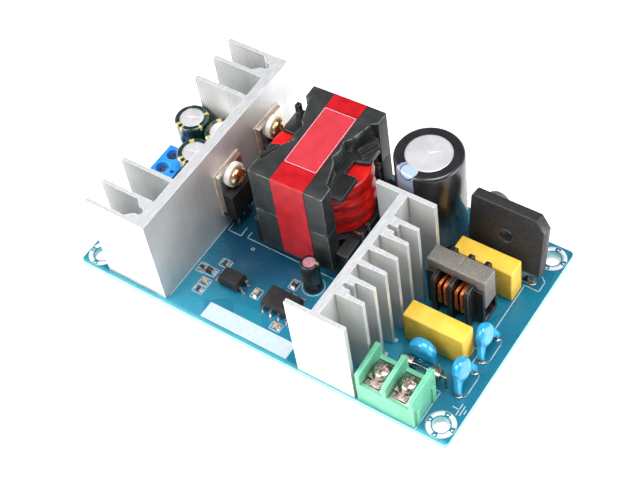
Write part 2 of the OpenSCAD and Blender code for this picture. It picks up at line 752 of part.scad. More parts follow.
module insulating_pads() color("mistyrose") at_cases() difference() {
    pad_w = case_w + 2 * pad_margin;
    pad_h = tab_h + case_body_h + 2 * pad_margin;
    translate([-pad_t, -pad_w / 2, case_bottom - pad_margin]) cube([pad_t, pad_w, pad_h]);
    translate([-pad_t - 1, 0, screw_z]) rotate([0, 90, 0])
        cylinder(h = pad_t + 2, d = screw_d + 0.4);
}

module shoulder_washers() color("white") at_cases() translate([0, 0, screw_z])
    rotate([0, 90, 0]) difference() {
        union() {
            translate([0, 0, tab_t]) cylinder(h = washer_t, d = washer_d);
            translate([0, 0, 0.1]) cylinder(h = tab_t, d = tab_hole_d - 0.1);
        }
        translate([0, 0, -1]) cylinder(h = tab_t + washer_t + 2, d = screw_d + 0.15);
    }

module clamp_screws() color("#d8c27a") at_cases() translate([tab_t + washer_t, 0, screw_z])
    rotate([0, 90, 0]) pan_screw(screw_head_d, screw_head_h, screw_d,
        tab_t + washer_t + pad_t + prim_sink_base + screw_past);

// ---- transformer -----------------------------------------------------------------------

module at_transformer()
    translate([transformer_x, transformer_y, board_t]) rotate(transformer_turn) children();

// Outline of a core plate: full width over the legs, slanting in to a narrow waist
module core_outline() {
    quarter = [
        [core_w / 2, core_l / 2], [core_w / 2, core_l * 0.37], [core_w * 0.43, core_l * 0.34],
        [core_waist / 2 + 1.3, core_l * 0.135], [core_waist / 2, core_l * 0.09],
    ];
    n = len(quarter) - 1;
    polygon(concat(quarter,
        [for (i = [n : -1 : 0]) [quarter[i][0], -quarter[i][1]]],
        [for (p = quarter) [-p[0], -p[1]]],
        [for (i = [n : -1 : 0]) [-quarter[i][0], quarter[i][1]]]));
}

// One core half: plate below, round post and two outer legs rising from it
module core_half() {
    linear_extrude(core_plate) core_outline();
    linear_extrude(core_h / 2) {
        circle(d = core_post_d);
        difference() {
            intersection() {
                core_outline();
                for (s = [-1, 1]) translate([0, s * core_l / 2])
                    square([core_w, core_l * 0.3], center = true);
            }
            circle(d = core_window_d);
        }
    }
}

module transformer_core_bottom() color("#3a3d3c") at_transformer()
    translate([0, 0, core_raise]) core_half();
module transformer_core_top() color("#3a3d3c") at_transformer()
    translate([0, 0, core_raise + core_h]) mirror([0, 0, 1]) core_half();

// Upper flange: a round plate with two pairs of ears that lie outside the core
module upper_flange() {
    intersection() {
        circle(d = core_window_d - 0.4);
        square([core_w * 0.85, core_l], center = true);
    }
    for (a = [0, 180]) rotate(a) {
        polygon([
            [6, 1.8], [10.3, 1.8], [flange_reach, 2.7], [flange_reach, 8.2], [11.2, flange_half_y],
            [7.5, flange_half_y],
        ]);
        translate([6, -flange_half_y]) square([flange_reach - 6.2, flange_half_y - 2.9]);
    }
}

module transformer_bobbin() color("#1e1f20") at_transformer() difference() {
    union() {
        translate([0, 0, flange_low_z])
            cylinder(h = window_h - 0.2, d = tube_d);
        translate([0, 0, flange_low_z]) linear_extrude(bobbin_wall) {
            intersection() {
                square([2 * rail_inner_x + 2 * rail_w, 2 * flange_half_y], center = true);
                circle(d = core_window_d - 0.4);
            }
            square([2 * (rail_inner_x + rail_w), 2 * flange_half_y - 4], center = true);
        }
        translate([0, 0, flange_high_z]) linear_extrude(bobbin_wall) upper_flange();
        for (a = [0, 180], p = [[9.2, 4.6], [11.1, 3.2]]) rotate(a)
            translate([p[0], p[1], flange_high_z + bobbin_wall - eps]) rotate(63)
                cube([5.4, 0.6, 0.8]);
        translate([-flange_reach + 0.2, flange_half_y - 1.5, flange_high_z])
            cube([1.3, 1.5, bobbin_wall + 2.6]);
        for (s = [-1, 1]) translate([s * rail_mid_x - rail_w / 2, -rail_l / 2, 0])
            cube([rail_w, rail_l, flange_low_z + bobbin_wall]);
    }
    translate([0, 0, core_raise]) cylinder(h = core_h, d = core_post_d + 0.4);
    for (p = transformer_pins_at) translate([p[0], p[1], -1])
        cylinder(h = transformer_pin_up + 1, d = transformer_pin_d, $fn = 20);
    for (s = [-1, 1], i = [-2 : 2])
        translate([s * rail_mid_x - rail_w, (i - 0.25) * transformer_pin_pitch, -1])
            cube([2 * rail_w, transformer_pin_pitch / 2, 1.6]);
}

// Winding between the flanges, swelling out of the two open sides
module transformer_winding() color("#e01f1b") at_transformer()
    translate([0, 0, flange_low_z + bobbin_wall + 0.1]) linear_extrude(winding_h) difference() {
            union() {
                circle(d = core_window_d - 1);
                for (s = [-1, 1]) translate([s * (winding_reach - winding_swell_r), 0])
                    circle(r = winding_swell_r);
            }
            circle(d = tube_d);
        }

// Wire ends that leave the winding and run down past the right rail into the board
module winding_leads() color("#b98a86") {
    on_board() for (p = winding_leads_at)
        wire(on_transformer(p)[0], on_transformer(p)[1], winding_lead_d,
            winding_lead_top + winding_lead_d / 2);
    at_transformer() for (p = winding_leads_at) translate([p[0], p[1], winding_lead_top])
        rotate([0, -90, 0])
            cylinder(h = p[0] - winding_edge_x(p[1]), d = winding_lead_d * 0.9, $fn = 20);
}

module core_tape() color("#d3202a") at_transformer() translate([tape_x - tape_w / 2, 0, 0])
    difference() {
        translate([0, -core_l / 2 - tape_t, core_raise - tape_t])
            cube([tape_w, core_l + 2 * tape_t, core_h + 2 * tape_t]);
        translate([-1, -core_l / 2, core_raise]) cube([tape_w + 2, core_l, core_h]);
    }

module core_label() color("#f04a55") at_transformer()
    translate([tape_x - tape_w / 2, -label_l / 2 + 0.6, core_raise + core_h + tape_t])
        cube([tape_w, label_l, label_t]);

module transformer_pins() color("silver") on_board() for (p = transformer_pins_at)
    wire(on_transformer(p)[0], on_transformer(p)[1], transformer_pin_d, transformer_pin_up - 0.1);

// ---- capacitors ------------------------------------------------------------------------

module at_bulk() translate([bulk_x, bulk_y, board_t]) children();
module bulk_capacitor_can() color("silver") at_bulk() can(bulk_d, bulk_h, 0.8);
module bulk_capacitor_sleeve() color("#1c1c20") at_bulk()
    sleeve(bulk_d, bulk_h, 0.8, bulk_d * 0.34);
module bulk_capacitor_leads() color("silver") on_board() for (s = [-1, 1])
    wire(bulk_x + s * bulk_lead_pitch / 2, bulk_y, bulk_lead_d, 0);

module at_out_caps() for (c = out_caps_at) translate([c[0], c[1], board_t]) children();
module output_capacitor_cans() color("silver") at_out_caps() can(out_cap_d, out_cap_h, 0.5);
module output_capacitor_sleeves() color("#123c3c") at_out_caps()
    sleeve(out_cap_d, out_cap_h, 0.5, out_cap_d * 0.35);

module at_aux_cap() translate([aux_cap_at[0], aux_cap_at[1], board_t]) children();
module aux_capacitor_can() color("silver") at_aux_cap() can(aux_cap_d, aux_cap_h, 0.4);
module aux_capacitor_sleeve() color("#242420") at_aux_cap()
    sleeve(aux_cap_d, aux_cap_h, 0.4, aux_cap_d * 0.34);

module small_capacitor_leads() color("silver") on_board() {
    for (c = out_caps_at, s = [-1, 1])
        wire(c[0], c[1] + s * out_cap_lead_pitch / 2, small_lead_d, 0);
    for (s = [-1, 1])
        wire(aux_cap_at[0] + s * aux_lead_pitch / 2, aux_cap_at[1], small_lead_d, 0);
    for (s = [-1, 1])
        wire(inductor_at[0], inductor_at[1] + s * inductor_lead_pitch / 2, small_lead_d, 0);
}

// Rod choke in a shrunk sleeve, with a hollow in its upper end
module output_inductor() color("#6b5f63") translate([inductor_at[0], inductor_at[1], board_t])
    rotate_extrude() polygon([
        [0, 0], [inductor_d / 2, 0], [inductor_d / 2, inductor_h - 0.5],
        [inductor_d / 2 - 0.5, inductor_h], [inductor_d / 2 - 1.1, inductor_h],
        [inductor_d / 2 - 1.3, inductor_h - 0.5], [0, inductor_h - 0.5],
    ]);

// A box capacitor with true round upright edges
module box_capacitor(at, h) translate([at[0], at[1], board_t])
    linear_extrude(h) round_rect(x_cap_l, x_cap_t, 0.5);
module front_box_capacitor() color("#e8c531") box_capacitor(front_x_cap_at, front_x_cap_h);
module rear_box_capacitor() color("#e8c531") box_capacitor(rear_x_cap_at, rear_x_cap_h);

// A coated disc that stands on two coated legs: face along +Y, feet on the origin's plane,
// centre of the disc at a height above it
module coated_disc(d, t, mid_z, pitch) rotate([90, 0, 0]) {
    leg_w = 1.7;
    bulge = t * 0.32;
    translate([0, mid_z, 0]) rotate_extrude() polygon(concat([[0, -t / 2]],
        [for (a = [-90 : 30 : 90]) [d / 2 - bulge + bulge * cos(a), t / 2 * sin(a)]],
        [[0, t / 2]]));
    translate([0, 0, -t * 0.3]) linear_extrude(t * 0.6) for (s = [-1, 1]) polygon([
        [s * d * 0.1, mid_z], [s * d * 0.46, mid_z], [s * (pitch / 2 + leg_w / 2), leg_w / 2],
        [s * (pitch / 2 + leg_w / 2 - 0.3), 0], [s * (pitch / 2 - leg_w / 2 + 0.3), 0],
        [s * (pitch / 2 - leg_w / 2), leg_w / 2], [s * d * 0.2, mid_z - d * 0.4],
    ]);
}

// Bores a coated part for the wires that enter its legs
module on_wires() difference() {
    children();
    wire_leads();
}

module disc_capacitor(i) on_wires()
    translate([disc_cap_x, disc_caps_y[i], board_t + disc_foot_z])
        rotate([0, -disc_cap_lean, 0]) rotate(90)
            coated_disc(disc_cap_d, disc_cap_t, disc_cap_mid_z - disc_foot_z, disc_cap_pitch);
module front_disc_capacitor() color("#1f8fe0") disc_capacitor(0);
module rear_disc_capacitor() color("#1f8fe0") disc_capacitor(1);
module surge_absorber() color("#1d7fd0") on_wires()
    translate([varistor_at[0], varistor_at[1], board_t + disc_foot_z])
        coated_disc(varistor_d, varistor_t, varistor_mid_z - disc_foot_z, varistor_pitch);
module inrush_limiter() color("#4a4a4c") on_wires()
    translate([limiter_at[0], limiter_at[1], board_t + limiter_foot_z])
        coated_disc(limiter_d, limiter_t, limiter_mid_z - limiter_foot_z, limiter_pitch);

module wire_leads() color("silver") on_board() for (w = wire_lead_ends())
    wire(w[0], w[1], w[2], w[3]);

// ---- bridge rectifier --------------------------------------------------------------------

module bridge_rectifier() color("#2b2a2b") difference() {
    half = bridge_w / 2;
    translate([bridge_at[0], bridge_at[1], board_t + bridge_raise])
        rotate([90 - bridge_lean, 0, 0]) translate([0, 0, -bridge_t / 2]) difference() {
            linear_extrude(bridge_t) polygon([
                [-half, 0], [half, 0], [half, bridge_h - 3.4], [half - 2.6, bridge_h],
                [-half + 0.5, bridge_h], [-half, bridge_h - 0.5],
            ]);
            translate([0, bridge_h * 0.51, -1]) cylinder(h = bridge_t + 2, d = bridge_bore_d);
        }
    bridge_rectifier_leads();
}
module bridge_rectifier_leads() color("silver") on_board() for (i = [-1.5 : 1.5])
    flat_lead(bridge_at[0] + i * bridge_pitch, bridge_at[1], bridge_lead[0], bridge_lead[1],
        bridge_raise + 1.5);

// ---- choke -----------------------------------------------------------------------------

module at_choke() translate([choke_mid_x, choke_mid_y, board_t]) children();

// U-shaped core half that points along +X; two of them meet and form a closed frame
module choke_core_half() translate([0, choke_core_t / 2, choke_raise]) rotate([90, 0, 0])
    linear_extrude(choke_core_t) difference() {
        square([choke_l / 2, choke_core_h]);
        translate([-1, choke_bar])
            square([choke_l / 2 - choke_bar + 1, choke_core_h - 2 * choke_bar]);
    }
module choke_core_right() color("#77736e") at_choke() choke_core_half();
module choke_core_left() color("#77736e") at_choke() mirror([1, 0, 0]) choke_core_half();

// Cross-section of the bobbin's tube or of a winding around the lower bar
module choke_ring(grow, r) translate([0, choke_bar_z])
    round_rect(choke_core_t + 2 * grow, choke_bar + 2 * grow, r);

// Extrudes a YZ section along X from x0 by a length
module along_x(x0, l) translate([x0, 0, 0]) rotate([90, 0, 90]) linear_extrude(l) children();

module choke_bobbin() color("#141516") at_choke() difference() {
    union() {
        translate([-choke_l / 2 + 0.2, -choke_base_w / 2, 0])
            cube([choke_l - 0.4, choke_base_w, choke_base_t]);
        for (i = choke_flanges) along_x(i * choke_flange_x - choke_flange_t / 2, choke_flange_t) {
            translate([0, choke_flange_h / 2]) round_rect(choke_flange_w, choke_flange_h, 1.8);
            translate([-choke_flange_w / 2, 0]) square([choke_flange_w, choke_flange_h / 2]);
        }
        along_x(-choke_flange_x, 2 * choke_flange_x) choke_ring(choke_tube_wall, 0.6);
        for (x = [-1, 1], y = [-1, 1])
            translate([x * (choke_l / 2 + choke_flange_x) / 2,
                y * (choke_base_w - choke_cheek_t) / 2, choke_flange_h * 0.46])
                    cube([choke_l / 2 - choke_flange_x - 0.4, choke_cheek_t,
                        choke_flange_h * 0.92], center = true);
    }
    translate([-choke_l / 2, -choke_core_t / 2 - 0.1, choke_raise + choke_core_h - choke_bar - 0.1])
        cube([choke_l, choke_core_t + 0.2, choke_bar + 1]);
    along_x(-choke_l / 2, choke_l) choke_ring(0.05, 0.05);
    for (x = [-1, 1], y = [-1, 1])
        translate([x * choke_pin_at[0] - wire_d / 2, y * choke_pin_at[1] - wire_d / 2, -1])
            cube([wire_d, wire_d, choke_base_t + 2]);
}

module choke_windings() color("#b8622c") at_choke() for (s = [-1, 1])
    along_x(s > 0 ? choke_flange_t / 2 + 0.1 : -choke_flange_x + choke_flange_t / 2 + 0.1,
        choke_flange_x - choke_flange_t - 0.2) difference() {
            choke_ring(choke_tube_wall + choke_winding_t, 3);
            choke_ring(choke_tube_wall, 0.6);
        }

module choke_pins() color("silver") on_board() for (x = [-1, 1], y = [-1, 1])
    flat_lead(choke_mid_x + x * choke_pin_at[0], choke_mid_y + y * choke_pin_at[1],
        wire_d, wire_d, choke_base_t + 0.3);

// ---- fuse ------------------------------------------------------------------------------

module at_fuse() translate([fuse_at[0], fuse_at[1], board_t + fuse_z]) rotate([0, 90, 0])
    children();

module fuse_tube() color("lightcyan", 0.5) at_fuse() difference() {
    translate([0, 0, -fuse_l / 2 + 0.4]) cylinder(h = fuse_l - 0.8, d = fuse_d);
    translate([0, 0, -fuse_l / 2]) cylinder(h = fuse_l, d = fuse_d - 1);
}

module fuse_caps() color("silver") for (s = [0, 1]) {
    at_fuse() mirror([0, 0, s]) difference() {
        translate([0, 0, fuse_l / 2 - fuse_cap_l])
            cylinder(h = fuse_cap_l, d = fuse_d + 2 * fuse_cap_wall);
        translate([0, 0, fuse_l / 2 - fuse_cap_l - 1]) cylinder(h = fuse_cap_l + 0.6, d = fuse_d);
    }
    translate([fuse_at[0], fuse_at[1], board_t]) mirror([s, 0, 0]) {
        translate([fuse_l / 2 - eps, 0, fuse_z]) rotate([0, 90, 0])
            cylinder(h = (fuse_lead_pitch - fuse_l) / 2 + eps, d = wire_d, $fn = 20);
        translate([fuse_lead_pitch / 2, 0, fuse_z]) sphere(d = wire_d, $fn = 20);
        wire(fuse_lead_pitch / 2, 0, wire_d, fuse_z);
    }
}

module fuse_element() color("silver") at_fuse()
    translate([0, 0, -fuse_l / 2 + 0.4]) cylinder(h = fuse_l - 0.8, d = 0.25, $fn = 16);

// ---- mains terminal ----------------------------------------------------------------------

module input_wall_section() polygon([
    [input_front_y, 0], [input_front_y, input_wall_front - 0.3],
    [input_front_y + 0.4, input_wall_front], [input_back_y - 0.5, input_wall_peak],
    [input_back_y, input_wall_peak - 0.6], [input_back_y, 0],
]);

module input_terminal_body() color("#5fc98c") on_board() difference() {
    union() {
        along_x(input_mid_x - input_w / 2, input_w) polygon([
            [input_front_y, 0], [input_front_y, input_lip[1]],
            [input_front_y + input_lip[0], input_lip[1]],
            [input_front_y + input_lip[0], input_floor],
            [input_back_y - input_back_wall, input_floor],
            [input_back_y - input_back_wall, input_back_h], [input_back_y, input_back_h],
            [input_back_y, 0],
        ]);
        for (i = [0 : input_poles])
            along_x(input_mid_x - input_w / 2 + i * input_pitch, input_wall)
                input_wall_section();
        for (y = [input_front_y + 1, input_back_y - 1 - input_key[1]])
            translate([input_mid_x + input_w / 2 - eps, y, 0]) cube(input_key);
    }
    for (x = input_poles_x) {
        translate([x, input_screw_y, input_floor - input_screw_l])
            cylinder(h = input_screw_l + 1, d = input_screw_d + 0.2);
        translate([x - input_pin[0] / 2, input_pin_y - input_pin[1] / 2, -1])
            cube([input_pin[0], input_pin[1], input_floor + 2]);
    }
}

module input_terminal_contacts() color("silver") on_board() for (x = input_poles_x) {
    difference() {
        translate([x - input_contact_w / 2, input_front_y + input_lip[0] + 0.2, input_floor])
            cube([input_contact_w, input_depth - input_back_wall - input_lip[0] - 0.4,
                input_contact_t]);
        translate([x, input_screw_y, 0]) cylinder(h = 20, d = input_screw_d + 0.1);
    }
    flat_lead(x, input_pin_y, input_pin[0], input_pin[1], input_floor + eps);
}

// Square washer with a tongue that points to the wire
module input_terminal_clamps() color("silver") on_board() for (x = input_poles_x)
    translate([x, input_screw_y, input_floor + input_contact_t]) difference() {
        union() {
            translate([-input_contact_w / 2 + 0.1, -2.6, 0])
                cube([input_contact_w - 0.2, 5.4, input_clamp_t]);
            translate([-1.5, -4.4, 0]) cube([3, 2, input_clamp_t]);
        }
        translate([0, 0, -1]) cylinder(h = 4, d = input_screw_d + 0.1);
    }

module input_terminal_screws() color("#d9d2c4") on_board() for (x = input_poles_x)
    translate([x, input_screw_y, input_floor + input_contact_t + input_clamp_t])
        pan_screw(input_head_d, input_head_h, input_screw_d, input_screw_l);

// ---- output terminal ---------------------------------------------------------------------

module output_terminal_body() color("#2d86cf") on_board() difference() {
    translate([output_left_x, output_mid_y - output_w / 2, 0])
        cube([output_depth, output_w, output_h]);
    for (y = output_poles_y) translate([output_screw_x, y, 0]) {
        translate([-output_cage[0] / 2 - 0.1, -output_cage[1] / 2 - 0.1, output_floor])
            cube([output_cage[0] + 0.2, output_cage[1] + 0.2, output_cage[2] + 0.1]);
        translate([0, 0, output_floor + 1]) cylinder(h = output_h, d = output_head_d + 0.3);
        translate([-output_depth, -output_entry_w / 2, output_floor + 0.6])
            cube([output_depth, output_entry_w, 3.6]);
        translate([-output_pin / 2, -output_pin / 2, -1]) cube([output_pin, output_pin, 3]);
        translate([3.4, 0, output_h - 3]) cylinder(h = 4, d = 1.3);
    }
}

// Square metal cage that the screw pulls up, with its pin
module output_terminal_clamps() color("silver") on_board() for (y = output_poles_y) {
    translate([output_screw_x, y, output_floor]) difference() {
        translate([-output_cage[0] / 2, -output_cage[1] / 2, 0]) cube(output_cage);
        translate([-output_cage[0], -output_cage[1] / 2 + output_cage_wall, output_cage_wall])
            cube([2 * output_cage[0], output_cage[1] - 2 * output_cage_wall,
                output_cage[2] - 2 * output_cage_wall - 0.4]);
        translate([0, 0, 2]) cylinder(h = 5, d = output_screw_d);
    }
    flat_lead(output_screw_x, y, output_pin, output_pin, output_floor);
}

module output_terminal_screws() color("#cfd3d6") on_board() for (y = output_poles_y)
    translate([output_screw_x, y, output_floor + output_cage[2] + 0.1]) {
        difference() {
            cylinder(h = output_head_h, d = output_head_d);
            translate([-output_head_d / 2 - 1, -0.3, output_head_h - 0.6])
                cube([output_head_d + 2, 0.6, 1]);
        }
        translate([0, 0, -1.9]) cylinder(h = 1.9, d = output_screw_d);
    }

// ---- control parts -----------------------------------------------------------------------

// Moulded package with bevelled upper sides, lying on its leads
module moulded_package(size) {
    module end_profile(w, l) translate([0, l / 2, 0]) rotate([90, 0, 0]) linear_extrude(l)
        polygon([[-w / 2 + 0.3, 0], [w / 2 - 0.3, 0], [w / 2, size[2] * 0.45],
            [w / 2 - 0.35, size[2]], [-w / 2 + 0.35, size[2]], [-w / 2, size[2] * 0.45]]);
    intersection() {
        end_profile(size[0], size[1]);
        rotate(90) end_profile(size[1], size[0]);
    }
}

module control_ic() color("#2a2827") translate([ic_at[0], ic_at[1], board_t + ic_raise])
    moulded_package(ic_size);
module optocoupler() color("#3a3736") translate([opto_at[0], opto_at[1], board_t + ic_raise])
    moulded_package(opto_size);

// Gull-wing lead that leaves the package's side along +X at the origin
module gull_lead() translate([0, surface_lead_w / 2, 0]) rotate([90, 0, 0])
    linear_extrude(surface_lead_w) {
        translate([0, surface_exit_z - surface_lead_t]) square([0.8, surface_lead_t]);
        translate([0.8 - surface_lead_t, 0]) square([surface_lead_t, surface_exit_z]);
        translate([0.8 - surface_lead_t, 0]) square([surface_foot, surface_lead_t]);
    }

module surface_leads() color("silver") on_board() {
    for (s = [0, 180], i = [-1.5 : 1.5]) translate([ic_at[0], ic_at[1], 0]) rotate(s)
        translate([i * surface_pitch, ic_size[1] / 2 + eps, 0]) rotate(90) gull_lead();
    for (s = [0, 180], i = [-0.5, 0.5]) translate([opto_at[0], opto_at[1], 0]) rotate(s)
        translate([opto_size[0] / 2 + eps, i * surface_pitch, 0]) gull_lead();
}

module chip_parts() color("#c9a27c") on_board() for (c = chips)
    translate([c[0], c[1], 0]) rotate(c[2]) translate([0, 0, c[3][2] / 2])
        cube(c[3], center = true);

circuit_board();
solder_joints();
output_heatsink();
primary_heatsink();
heatsink_pins();
front_rectifier_body();
front_rectifier_frame();
rear_rectifier_body();
rear_rectifier_frame();
transistor_body();
transistor_frame();
insulating_pads();
shoulder_washers();
clamp_screws();
transformer_core_top();
transformer_core_bottom();
transformer_bobbin();
transformer_winding();
winding_leads();
core_tape();
core_label();
transformer_pins();
bulk_capacitor_can();
bulk_capacitor_sleeve();
bulk_capacitor_leads();
bridge_rectifier();
bridge_rectifier_leads();
inrush_limiter();
front_box_capacitor();
rear_box_capacitor();
choke_core_left();
choke_core_right();
choke_bobbin();
choke_windings();
choke_pins();
front_disc_capacitor();
rear_disc_capacitor();
surge_absorber();
wire_leads();
fuse_tube();
fuse_caps();
fuse_element();
input_terminal_body();
input_terminal_contacts();
input_terminal_clamps();
input_terminal_screws();
output_terminal_body();
output_terminal_clamps();
output_terminal_screws();
output_capacitor_cans();
output_capacitor_sleeves();
small_capacitor_leads();
output_inductor();
aux_capacitor_can();
aux_capacitor_sleeve();
control_ic();
optocoupler();
surface_leads();
chip_parts();
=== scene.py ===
"""Looks of an open frame power supply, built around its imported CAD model.

Lengths in this file are in millimetres unless a name says otherwise.
"""

import functools
import logging
import math
from dataclasses import dataclass, field
from enum import Enum
from typing import Any, Callable, Iterable, Sequence

import bmesh
import bpy
from mathutils import Matrix, Vector


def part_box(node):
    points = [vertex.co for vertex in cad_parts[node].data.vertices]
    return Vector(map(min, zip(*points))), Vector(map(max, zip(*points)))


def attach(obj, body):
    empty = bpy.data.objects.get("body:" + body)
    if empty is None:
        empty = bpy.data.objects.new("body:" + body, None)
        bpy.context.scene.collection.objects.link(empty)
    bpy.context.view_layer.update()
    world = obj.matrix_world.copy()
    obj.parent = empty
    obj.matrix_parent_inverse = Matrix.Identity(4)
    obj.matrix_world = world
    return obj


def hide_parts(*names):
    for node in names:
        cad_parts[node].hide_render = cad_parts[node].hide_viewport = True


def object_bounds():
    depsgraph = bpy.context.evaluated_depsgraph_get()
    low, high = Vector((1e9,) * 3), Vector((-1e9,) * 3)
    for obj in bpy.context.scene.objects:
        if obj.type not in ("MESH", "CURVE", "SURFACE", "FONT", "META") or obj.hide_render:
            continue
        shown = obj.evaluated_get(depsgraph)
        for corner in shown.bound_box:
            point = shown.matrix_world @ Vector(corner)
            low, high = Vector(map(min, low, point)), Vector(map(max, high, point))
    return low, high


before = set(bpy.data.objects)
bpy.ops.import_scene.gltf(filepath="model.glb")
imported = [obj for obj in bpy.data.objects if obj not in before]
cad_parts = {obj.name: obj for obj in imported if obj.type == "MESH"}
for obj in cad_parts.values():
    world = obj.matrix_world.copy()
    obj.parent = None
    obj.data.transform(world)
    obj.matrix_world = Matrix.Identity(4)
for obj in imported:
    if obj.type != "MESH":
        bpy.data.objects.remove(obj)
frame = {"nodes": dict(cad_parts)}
CAD_BOX = [list(corner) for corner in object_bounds()]

log = logging.getLogger("power_supply")
MM = 0.001
BOARD_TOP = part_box("circuit_board")[1].z / MM
Point = tuple[float, float]
Place = tuple[float, float, float]
Form = bmesh.types.BMesh
Material = bpy.types.Material
Node = bpy.types.Node
Object = bpy.types.Object
Socket = bpy.types.NodeSocket
Tree = bpy.types.NodeTree


# ---- small helpers ---------------------------------------------------------------------


def linear(hex_colour: str) -> tuple[float, float, float, float]:
    """Turns an sRGB hex colour into linear light.

    Args:
        hex_colour: Six hex digits after a hash.

    Returns:
        Red, green, blue and a full alpha.
    """
    values = [int(hex_colour[i:i + 2], 16) / 255 for i in (1, 3, 5)]
    light = [v / 12.92 if v <= 0.04045 else ((v + 0.055) / 1.055) ** 2.4 for v in values]
    return (light[0], light[1], light[2], 1.0)


def linked(name: str, data: Any) -> Object:
    """Makes an object of a mesh, lamp or camera and links it to the scene."""
    made = bpy.data.objects.new(name, data)
    bpy.context.scene.collection.objects.link(made)
    return made


def mesh_object(name: str, verts: Sequence[Place], faces: Sequence[Sequence[int]],
                material: Material | None = None, smooth: bool = False) -> Object:
    """Makes an object from points in millimetres.

    Args:
        name: The object's name.
        verts: The points.
        faces: The faces as point numbers, turning so that they face outwards.
        material: The only material.
        smooth: True shades it smooth.

    Returns:
        The object, linked to the scene.
    """
    mesh = bpy.data.meshes.new(name)
    mesh.from_pydata([Vector(v) * MM for v in verts], [], faces)
    if smooth:
        mesh.shade_smooth()
    if material is not None:
        mesh.materials.append(material)
    return linked(name, mesh)


def released(form: Form, name: str) -> Object:
    """Moves a form into a new object, frees the form and returns the object."""
    mesh = bpy.data.meshes.new(name)
    form.to_mesh(mesh)
    form.free()
    return linked(name, mesh)


def reworked(made: Object, work: Callable[[Form], Any]) -> None:
    """Runs a job on an object's mesh as a form."""
    form = bmesh.new()
    form.from_mesh(made.data)
    work(form)
    form.to_mesh(made.data)
    form.free()


def dress(made: Object, material: Material) -> None:
    """Gives an object one material."""
    made.data.materials.clear()
    made.data.materials.append(material)


def bake(made: Object) -> Object:
    """Turns an object's modifiers into a plain mesh, and returns the object."""
    graph = bpy.context.evaluated_depsgraph_get()
    mesh = bpy.data.meshes.new_from_object(made.evaluated_get(graph))
    made.modifiers.clear()
    made.data = mesh
    mesh.name = made.name
    return made


def modified(made: Object, kind: str, **settings: Any) -> Object:
    """Adds a modifier with its settings, bakes it into the mesh and returns the object."""
    added = made.modifiers.new(kind.lower(), kind)
    for key, value in settings.items():
        setattr(added, key, value)
    return bake(made)


def box_mm(node: str) -> tuple[Vector, Vector]:
    """The lowest and highest corner of a CAD node, in millimetres."""
    low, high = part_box(node)
    return low / MM, high / MM


def merged(node: str) -> Form:
    """Copies a CAD node's mesh with its points merged and its flat faces joined.

    Args:
        node: The CAD node.

    Returns:
        The copy, which its user frees.
    """
    same_place, same_plane = 2e-6, math.radians(0.6)
    form = bmesh.new()
    form.from_mesh(frame["nodes"][node].data)
    bmesh.ops.remove_doubles(form, verts=form.verts, dist=same_place)
    bmesh.ops.dissolve_limit(form, angle_limit=same_plane, verts=form.verts,
                             edges=form.edges)
    bmesh.ops.recalc_face_normals(form, faces=form.faces)
    return form


def islands(node: str) -> list[tuple[Vector, Vector]]:
    """Finds the separate solids of a CAD node.

    Args:
        node: The CAD node.

    Returns:
        The box of each solid in millimetres, in a fixed order.
    """
    form = merged(node)
    left, boxes = set(form.verts), []
    while left:
        seed = left.pop()
        group, stack = [seed], [seed]
        while stack:
            for edge in stack.pop().link_edges:
                for vert in edge.verts:
                    if vert in left:
                        left.remove(vert)
                        group.append(vert)
                        stack.append(vert)
        low = Vector([min(v.co[k] for v in group) for k in range(3)]) / MM
        high = Vector([max(v.co[k] for v in group) for k in range(3)]) / MM
        boxes.append((low, high))
    form.free()
    return sorted(boxes, key=lambda b: (round(b[0].x, 2), round(b[0].y, 2), b[0].z))


def publish(piece: Object, slot: str, replaces: Iterable[str] = ()) -> None:
    """Attaches a finished piece to the root, hides the CAD nodes it stands for and logs it.

    Args:
        piece: The piece, in place.
        slot: The name of its material slot, which only goes into the log.
        replaces: The CAD nodes that it stands for.
    """
    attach(piece, "root")
    nodes = list(replaces)
    if nodes:
        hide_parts(*nodes)
    log.info("piece %s: %d faces, slot %s, stands for %s", piece.name,
             len(piece.data.polygons), slot, nodes or "nothing")


def softened(node: str, material: Material, width: float, segments: int = 2) -> Object:
    """Makes the copy of a CAD node whose sharp edges are rounded.

    Args:
        node: The CAD node.
        material: What it is made of.
        width: The width of the rounding.
        segments: Faces across the rounding.

    Returns:
        The copy, with its edges rounded in its mesh.
    """
    sharp = math.radians(40)
    made = released(merged(node), node + "_form")
    made.data.shade_smooth()
    dress(made, material)
    return modified(made, "BEVEL", width=width * MM, segments=segments,
                    limit_method="ANGLE", angle_limit=sharp, use_clamp_overlap=True,
                    harden_normals=True)


def skinned(node: str, name: str, material: Material, voxel: float,
            rounds: int) -> Object:
    """Copies a CAD node as one even skin and smooths it.

    Args:
        node: The CAD node.
        name: The copy's name.
        material: What it is made of.
        voxel: Size of the skin's faces.
        rounds: Rounds of smoothing.

    Returns:
        The copy.
    """
    made = released(merged(node), name)
    modified(made, "REMESH", mode="VOXEL", voxel_size=voxel * MM)
    modified(made, "SMOOTH", iterations=rounds, factor=0.5)
    made.data.shade_smooth()
    dress(made, material)
    return made


